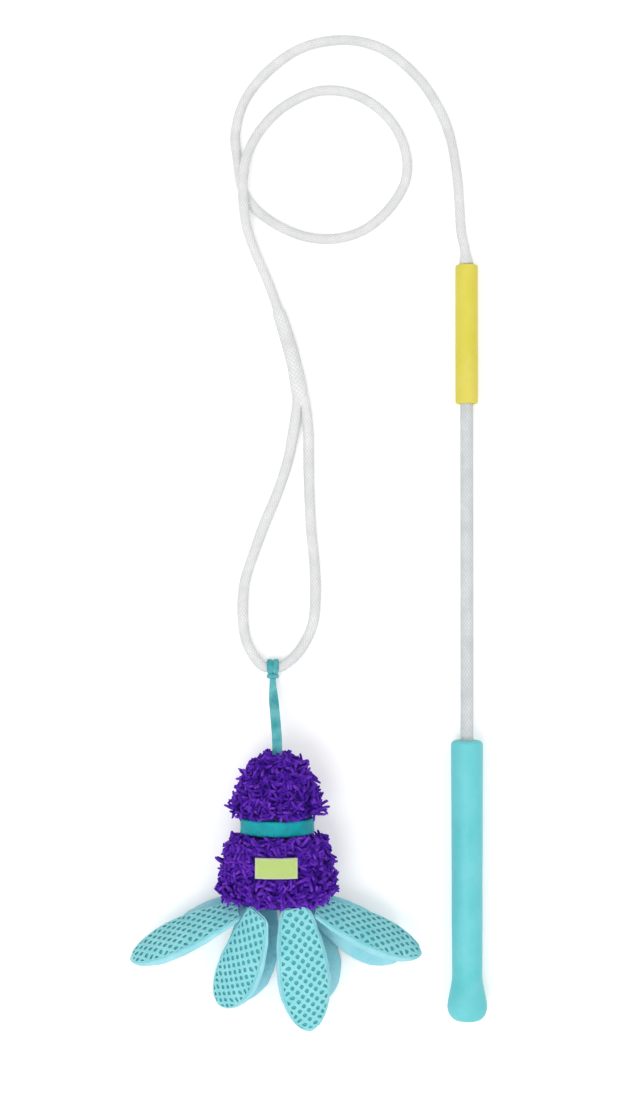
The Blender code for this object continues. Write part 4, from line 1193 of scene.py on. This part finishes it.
def make_band(looks):
    """Satin drawn round the neck: soft gathers, rolled edges."""
    start, end = HEAD_LENGTH + 0.0006, BODY_START - 0.0006
    inner, outer = 0.0218, 0.0248

    def place(u, v):
        turn = math.tau * u
        section = v * 4.0
        if section <= 3.0:
            share = section / 3.0
            along = start + (end - start) * share
            roll = math.sqrt(max(0.0, 1.0 - (2 * share - 1.0) ** 8))
            waist = 0.0004 * math.cos(math.pi * (2 * share - 1.0) / 2)
            c, s = math.cos(turn), math.sin(turn)
            gather = noise.noise(Vector((c * 5.0, s * 5.0, share * 0.9)))
            fine = noise.noise(Vector((c * 14.0, s * 14.0, share * 1.5 + 7)))
            radius = inner + (outer - inner - waist) * roll
            radius += (0.00045 * gather + 0.0002 * fine) * roll
        else:
            along = end + (start - end) * (section - 3.0)
            radius = inner
        return toy_point(along, turn, radius)

    bm = bent_grid(220, 40, place, lambda u, v: (v * 0.03, u * 0.15))
    bmesh.ops.remove_doubles(bm, verts=bm.verts, dist=1e-5)
    piece("neck_satin", bm, looks["band"], "toy", ("neck_band",))


def make_base(looks):
    """The base's round fleece panel, puckered where the petals are sewn on."""

    def place(u, v):
        turn = math.tau * v
        radius = (BASE_RADIUS + 0.0004) * u
        pucker = 0.0005 * math.cos(8 * turn) * smoothstep(0.5, 1.0, u)
        along = BASE - 0.0006 + 0.0043 * (1.0 - u**6) + pucker * (1.0 - u**6)
        return toy_point(along, turn, max(radius, 1e-7))

    bm = bent_grid(24, 96, place, lambda u, v: (u * BASE_RADIUS, v * 0.18))
    piece("base_fleece", bm, looks["fleece"], "toy", ("base_panel",))


def make_label(looks):
    """A bare woven label on the front of the body, and the stitches round its edge."""

    def surface(x, y, lift):
        along = LABEL_FROM_TOP - y
        high = math.sqrt(body_radius(along) ** 2 - x * x) * flatness(along)
        return Vector((TOY_X + x, TOY_TOP_Y - along, TOY_HEIGHT + high + lift))

    def place(u, v):
        section = v * 2.0
        top = section <= 1.0
        y = ((section if top else 2.0 - section) - 0.5) * LABEL_HEIGHT
        x = (u - 0.5) * LABEL_WIDTH
        sag = 0.00025 * noise.noise(Vector((x * 180, y * 180, 3.0)))
        inwards = min(LABEL_WIDTH / 2 - abs(x), LABEL_HEIGHT / 2 - abs(y))
        rise = math.sqrt(smoothstep(0.0, 0.0012, inwards))
        return surface(x, y, 0.0006 + sag + (0.0009 * rise if top else 0.0))

    def uv_place(u, v):
        return u * LABEL_WIDTH, (2 * v if v <= 0.5 else 2 - 2 * v) * LABEL_HEIGHT

    bm = bent_grid(56, 56, place, uv_place)
    piece("bare_label", bm, looks["label"], "toy", ("label_patch",))

    bm = bmesh.new()
    inset, pitch, lift = 0.0012, 0.0017, 0.00165
    wide, high = LABEL_WIDTH / 2 - inset, LABEL_HEIGHT / 2 - inset
    size = Matrix.Diagonal((0.00058, 0.0002, 0.00016, 1.0))
    corners = [(-wide, -high), (wide, -high), (wide, high), (-wide, high)]
    for (ax, ay), (bx, by) in zip(corners, corners[1:] + corners[:1]):
        run = math.hypot(bx - ax, by - ay)
        count = round(run / pitch)
        for i in range(count):
            share = (i + 0.5) / count
            x, y = ax + (bx - ax) * share, ay + (by - ay) * share
            step = Vector((bx - ax, by - ay, 0.0)).normalized() * 1e-4
            spot = surface(x, y, lift)
            ahead = (surface(x + step.x, y + step.y, lift) - spot).normalized()
            turn = ahead.to_track_quat("X", "Z").to_matrix().to_4x4()
            matrix = Matrix.Translation(spot) @ turn @ size
            bmesh.ops.create_icosphere(bm, subdivisions=2, radius=1.0, matrix=matrix)
    piece("label_stitches", bm, looks["thread"], "toy")


# Petals


def petal_half_width(share):
    if share < 0.0:
        return PETAL_ROOT_HALF_WIDTH * math.sqrt(1.0 - (0.8 * share / PETAL_TUCK_SHARE) ** 2)
    if share <= PETAL_WIDEST_SHARE:
        grown = math.sin(math.pi / 2 * share / PETAL_WIDEST_SHARE) ** 0.85
        return PETAL_ROOT_HALF_WIDTH + (PETAL_HALF_WIDTH - PETAL_ROOT_HALF_WIDTH) * grown
    beyond = (share - PETAL_WIDEST_SHARE) / (1.0 - PETAL_WIDEST_SHARE)
    return PETAL_HALF_WIDTH * max(0.0, 1.0 - beyond * beyond) ** 0.62


def petal_half_thickness(share):
    root = PETAL_ROOT_HALF_THICKNESS
    if share < 0.0:
        return root * (1.0 - 0.6 * (share / PETAL_TUCK_SHARE) ** 2)
    if share <= PETAL_WIDEST_SHARE:
        grown = math.sin(math.pi / 2 * share / PETAL_WIDEST_SHARE)
        return root + (PETAL_HALF_THICKNESS - root) * grown
    beyond = (share - PETAL_WIDEST_SHARE) / (1.0 - PETAL_WIDEST_SHARE)
    return PETAL_HALF_THICKNESS * max(0.0, 1.0 - beyond * beyond) ** 0.5


def net_depth(x, share):
    """How far a place lies inside the net's edge, 0 on it and 1 well inside."""
    side = (petal_half_width(share) * NET_SIDE_SHARE - abs(x)) / 0.0014
    ends = min((share - NET_FIRST_SHARE) / 0.014, (NET_LAST_SHARE - share) / 0.014)
    return smoothstep(0.0, 1.0, min(side, ends))


class Petal:
    """A petal's sizes, and the frame at its sewn root: x across, y to the tip, z out of the net."""

    def __init__(self, name, heading, dip, length, bend, wide, drift):
        self.name, self.length, self.bend, self.wide, self.drift = name, length, bend, wide, drift
        joint = next(j for j in frame["joints"] if j["name"] == name + "_flap")
        across = Vector(joint["axis"]).normalized()
        h, d = math.radians(heading), math.radians(dip)
        along = Vector((math.sin(h) * math.cos(d), -math.cos(h) * math.cos(d), -math.sin(d)))
        along = (along - across * across.dot(along)).normalized()
        turn = Matrix((across, along, across.cross(along))).transposed().to_4x4()
        self.at = Matrix.Translation(joint["pos_m"]) @ turn

    def middle(self, share):
        return -PETAL_ROOT_HALF_THICKNESS - self.bend * share * share

    def top(self, x, share):
        """Height of the netted face's lining."""
        off = min(1.0, abs(x) / max(1e-6, petal_half_width(share)))
        crown = petal_half_thickness(share) * (1.0 - off**PETAL_FULLNESS) ** (1.0 / PETAL_FULLNESS)
        return self.middle(share) + crown - LINING_DEPTH * net_depth(x, share)

    def drifted(self, bm):
        """Widens a piece and moves it sideways, more or less along its length."""
        root, middle, tip = self.drift
        for vert in bm.verts:
            share = vert.co.y / self.length
            bow = 4 * middle - 3 * root - tip
            moved = root + bow * share + (tip - root - bow) * share * share
            vert.co.x = vert.co.x * self.wide + moved

    def sewn(self, ending, bm, look, slot, stands_for=()):
        """Puts a piece in its place."""
        bmesh.ops.transform(bm, matrix=self.at, verts=bm.verts)
        made = piece(self.name + ending, bm, look, None, stands_for)
        tuck = PETAL_TUCK_SHARE * self.length
        low = -PETAL_ROOT_HALF_THICKNESS
        start, end = [tuple(self.at @ Vector((0.0, along, low))) for along in (-tuck, tuck)]
        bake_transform(made)
        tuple(start)
        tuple(end)
        return made


def make_pad(petal, looks, seed):
    def place(u, v):
        share = (0.9985 + PETAL_TUCK_SHARE) * (1.0 - (1.0 - u) ** 1.25) - PETAL_TUCK_SHARE
        turn = math.tau * v
        power = 2.0 / PETAL_FULLNESS
        c, s = math.cos(turn), math.sin(turn)
        x = petal_half_width(share) * math.copysign(abs(c) ** power, c)
        z = petal_half_thickness(share) * math.copysign(abs(s) ** power, s)
        deep = net_depth(x, share) if s > 0 else 0.0
        z -= LINING_DEPTH * deep
        plump = noise.noise(Vector((x * 90 + seed, share * 7, z * 90)))
        ripple = noise.noise(Vector((x * 260, share * 22 + seed, z * 260)))
        grow = 1.0 + (0.035 * plump + 0.018 * ripple) * (1.0 - deep)
        return Vector((x * grow, petal.length * share, petal.middle(share) + z * grow))

    bm = bent_grid(72, 72, place, lambda u, v: (v * 0.08, u * petal.length))
    # Marks where the net covers the pad, for the painted shade under it.
    net_shade = bm.verts.layers.float.new("net_shade")
    for vert in bm.verts:
        share = vert.co.y / petal.length
        if vert.co.z > petal.middle(share):
            vert[net_shade] = net_depth(vert.co.x, share)
    petal.drifted(bm)
    made = petal.sewn("_pad", bm, looks["plush"], "petal_plush", (petal.name,))


def make_net(petal, looks):
    """Knitted net: a grid of diamonds, each opened in its middle, laid over the lining."""
    cells, length = 40, petal.length
    first, last = NET_FIRST_SHARE * length, NET_LAST_SHARE * length
    bm = bmesh.new()
    bmesh.ops.create_grid(bm, x_segments=cells, y_segments=cells, size=cells / 2)
    for vert in bm.verts:
        i, j = vert.co.x, vert.co.y
        vert.co = ((i - j) * NET_WIDE / 2, length * 0.5 + (i + j) * NET_TALL / 2, 0.0)

    def limit(y):
        return petal_half_width(min(last, max(first, y)) / length) * NET_SIDE_SHARE

    def inside(point):
        return first < point.y < last and abs(point.x) < limit(point.y)

    gone = [f for f in bm.faces if not inside(f.calc_center_median())]
    bmesh.ops.delete(bm, geom=gone, context="FACES")
    for vert in bm.verts:
        if vert.is_boundary or not inside(vert.co):
            to_side = limit(vert.co.y) - abs(vert.co.x)
            to_end = min(vert.co.y - first, last - vert.co.y)
            if to_side < to_end:
                vert.co.x = math.copysign(limit(vert.co.y), vert.co.x)
            else:
                vert.co.y = first if vert.co.y < length / 2 else last
                vert.co.x = max(-limit(vert.co.y), min(limit(vert.co.y), vert.co.x))
    bmesh.ops.dissolve_degenerate(bm, dist=0.0003, edges=bm.edges)
    cell = NET_WIDE * NET_TALL / 2
    faces = [f for f in bm.faces if f.calc_area() > 0.4 * cell and len(f.verts) == 4]
    for face in faces:
        bar = NET_BAR / 2 * max(0.7, face.calc_area() / cell)
        bmesh.ops.inset_individual(bm, faces=[face], thickness=bar, use_even_offset=True)
    bmesh.ops.delete(bm, geom=faces, context="FACES")
    bmesh.ops.subdivide_edges(bm, edges=bm.edges, cuts=1, use_grid_fill=True)
    rims = [v for v in bm.verts if v.is_boundary and net_depth(v.co.x, v.co.y / length) > 0.3]
    bmesh.ops.smooth_vert(bm, verts=rims, factor=0.5, use_axis_x=True, use_axis_y=True)
    uv = bm.loops.layers.uv.new("UVMap")
    for face in bm.faces:
        for loop in face.loops:
            loop[uv].uv = (loop.vert.co.x + loop.vert.co.y, loop.vert.co.y - loop.vert.co.x)
    for vert in bm.verts:
        vert.co.z = petal.top(vert.co.x, vert.co.y / length) + NET_LIFT
    petal.drifted(bm)
    bmesh.ops.recalc_face_normals(bm, faces=bm.faces)
    if sum(f.normal.z for f in bm.faces) < 0:
        bmesh.ops.reverse_faces(bm, faces=bm.faces)
    bmesh.ops.solidify(bm, geom=bm.faces, thickness=-0.0008)
    made = petal.sewn("_mesh", bm, looks["net"], "petal_knit", (petal.name + "_net",))
    soft = made.modifiers.new("rounded", "SUBSURF")
    soft.levels = soft.render_levels = 1


def make_seam(petal, looks):
    """The rolled seam that holds the net's edge to the plush."""
    outline = []
    rows = 44
    for side in (1.0, -1.0):
        for i in range(rows):
            share = NET_FIRST_SHARE + (NET_LAST_SHARE - NET_FIRST_SHARE) * (i + 0.5) / rows
            share = share if side > 0 else NET_FIRST_SHARE + NET_LAST_SHARE - share
            x = side * petal_half_width(share) * (NET_SIDE_SHARE + 0.015)
            outline.append(Vector((x, share * petal.length, petal.top(x, share) + NET_LIFT)))
    count = len(outline)

    def place(u, v):
        i = round(u * count) % count
        here = outline[i]
        ahead = (outline[(i + 1) % count] - outline[i - 1]).normalized()
        out = ahead.cross(Vector((0.0, 0.0, 1.0))).normalized()
        up = out.cross(ahead)
        turn = math.tau * v
        radius = 0.0004 + 0.00004 * math.sin(i * 2.6)
        return here + out * radius * math.cos(turn) + up * radius * math.sin(turn)

    bm = bent_grid(count, 8, place, lambda u, v: (u * 0.18, v * 0.003))
    petal.drifted(bm)
    petal.sewn("_seam", bm, looks["seam"], "petal_plush")


def make_petals(looks):
    for i, row in enumerate(PETALS):
        petal = Petal(*row)
        make_pad(petal, looks, 3.7 * i)
        make_net(petal, looks)
        make_seam(petal, looks)


def dress_inner(looks):
    """The pieces inside keep their CAD shape."""
    for node, look in (
        ("grip_core", "plastic"), ("core_rod", "fibre"), ("tip_crimp", "metal"),
        ("head_stuffing", "filling"), ("body_stuffing", "filling"),
        ("squeaker_bulb", "bulb"), ("squeaker_reed", "plastic"),
    ):
        slots = frame["nodes"][node].data.materials
        slots.clear()
        slots.append(looks[look])


make_camera()
looks = make_finishes()
make_rope(looks)
make_eye(looks)
make_light()
make_floor()
pole = pole_frame()
make_grip(looks, pole)
make_sleeve(looks, pole)
make_rod_braid(looks, pole)
make_hitch(looks)
make_ribbon(looks)
make_head(looks)
make_body(looks)
make_band(looks)
make_base(looks)
make_label(looks)
make_petals(looks)
dress_inner(looks)
bpy.context.scene.view_settings.view_transform = "Standard"

bpy.context.view_layer.update()
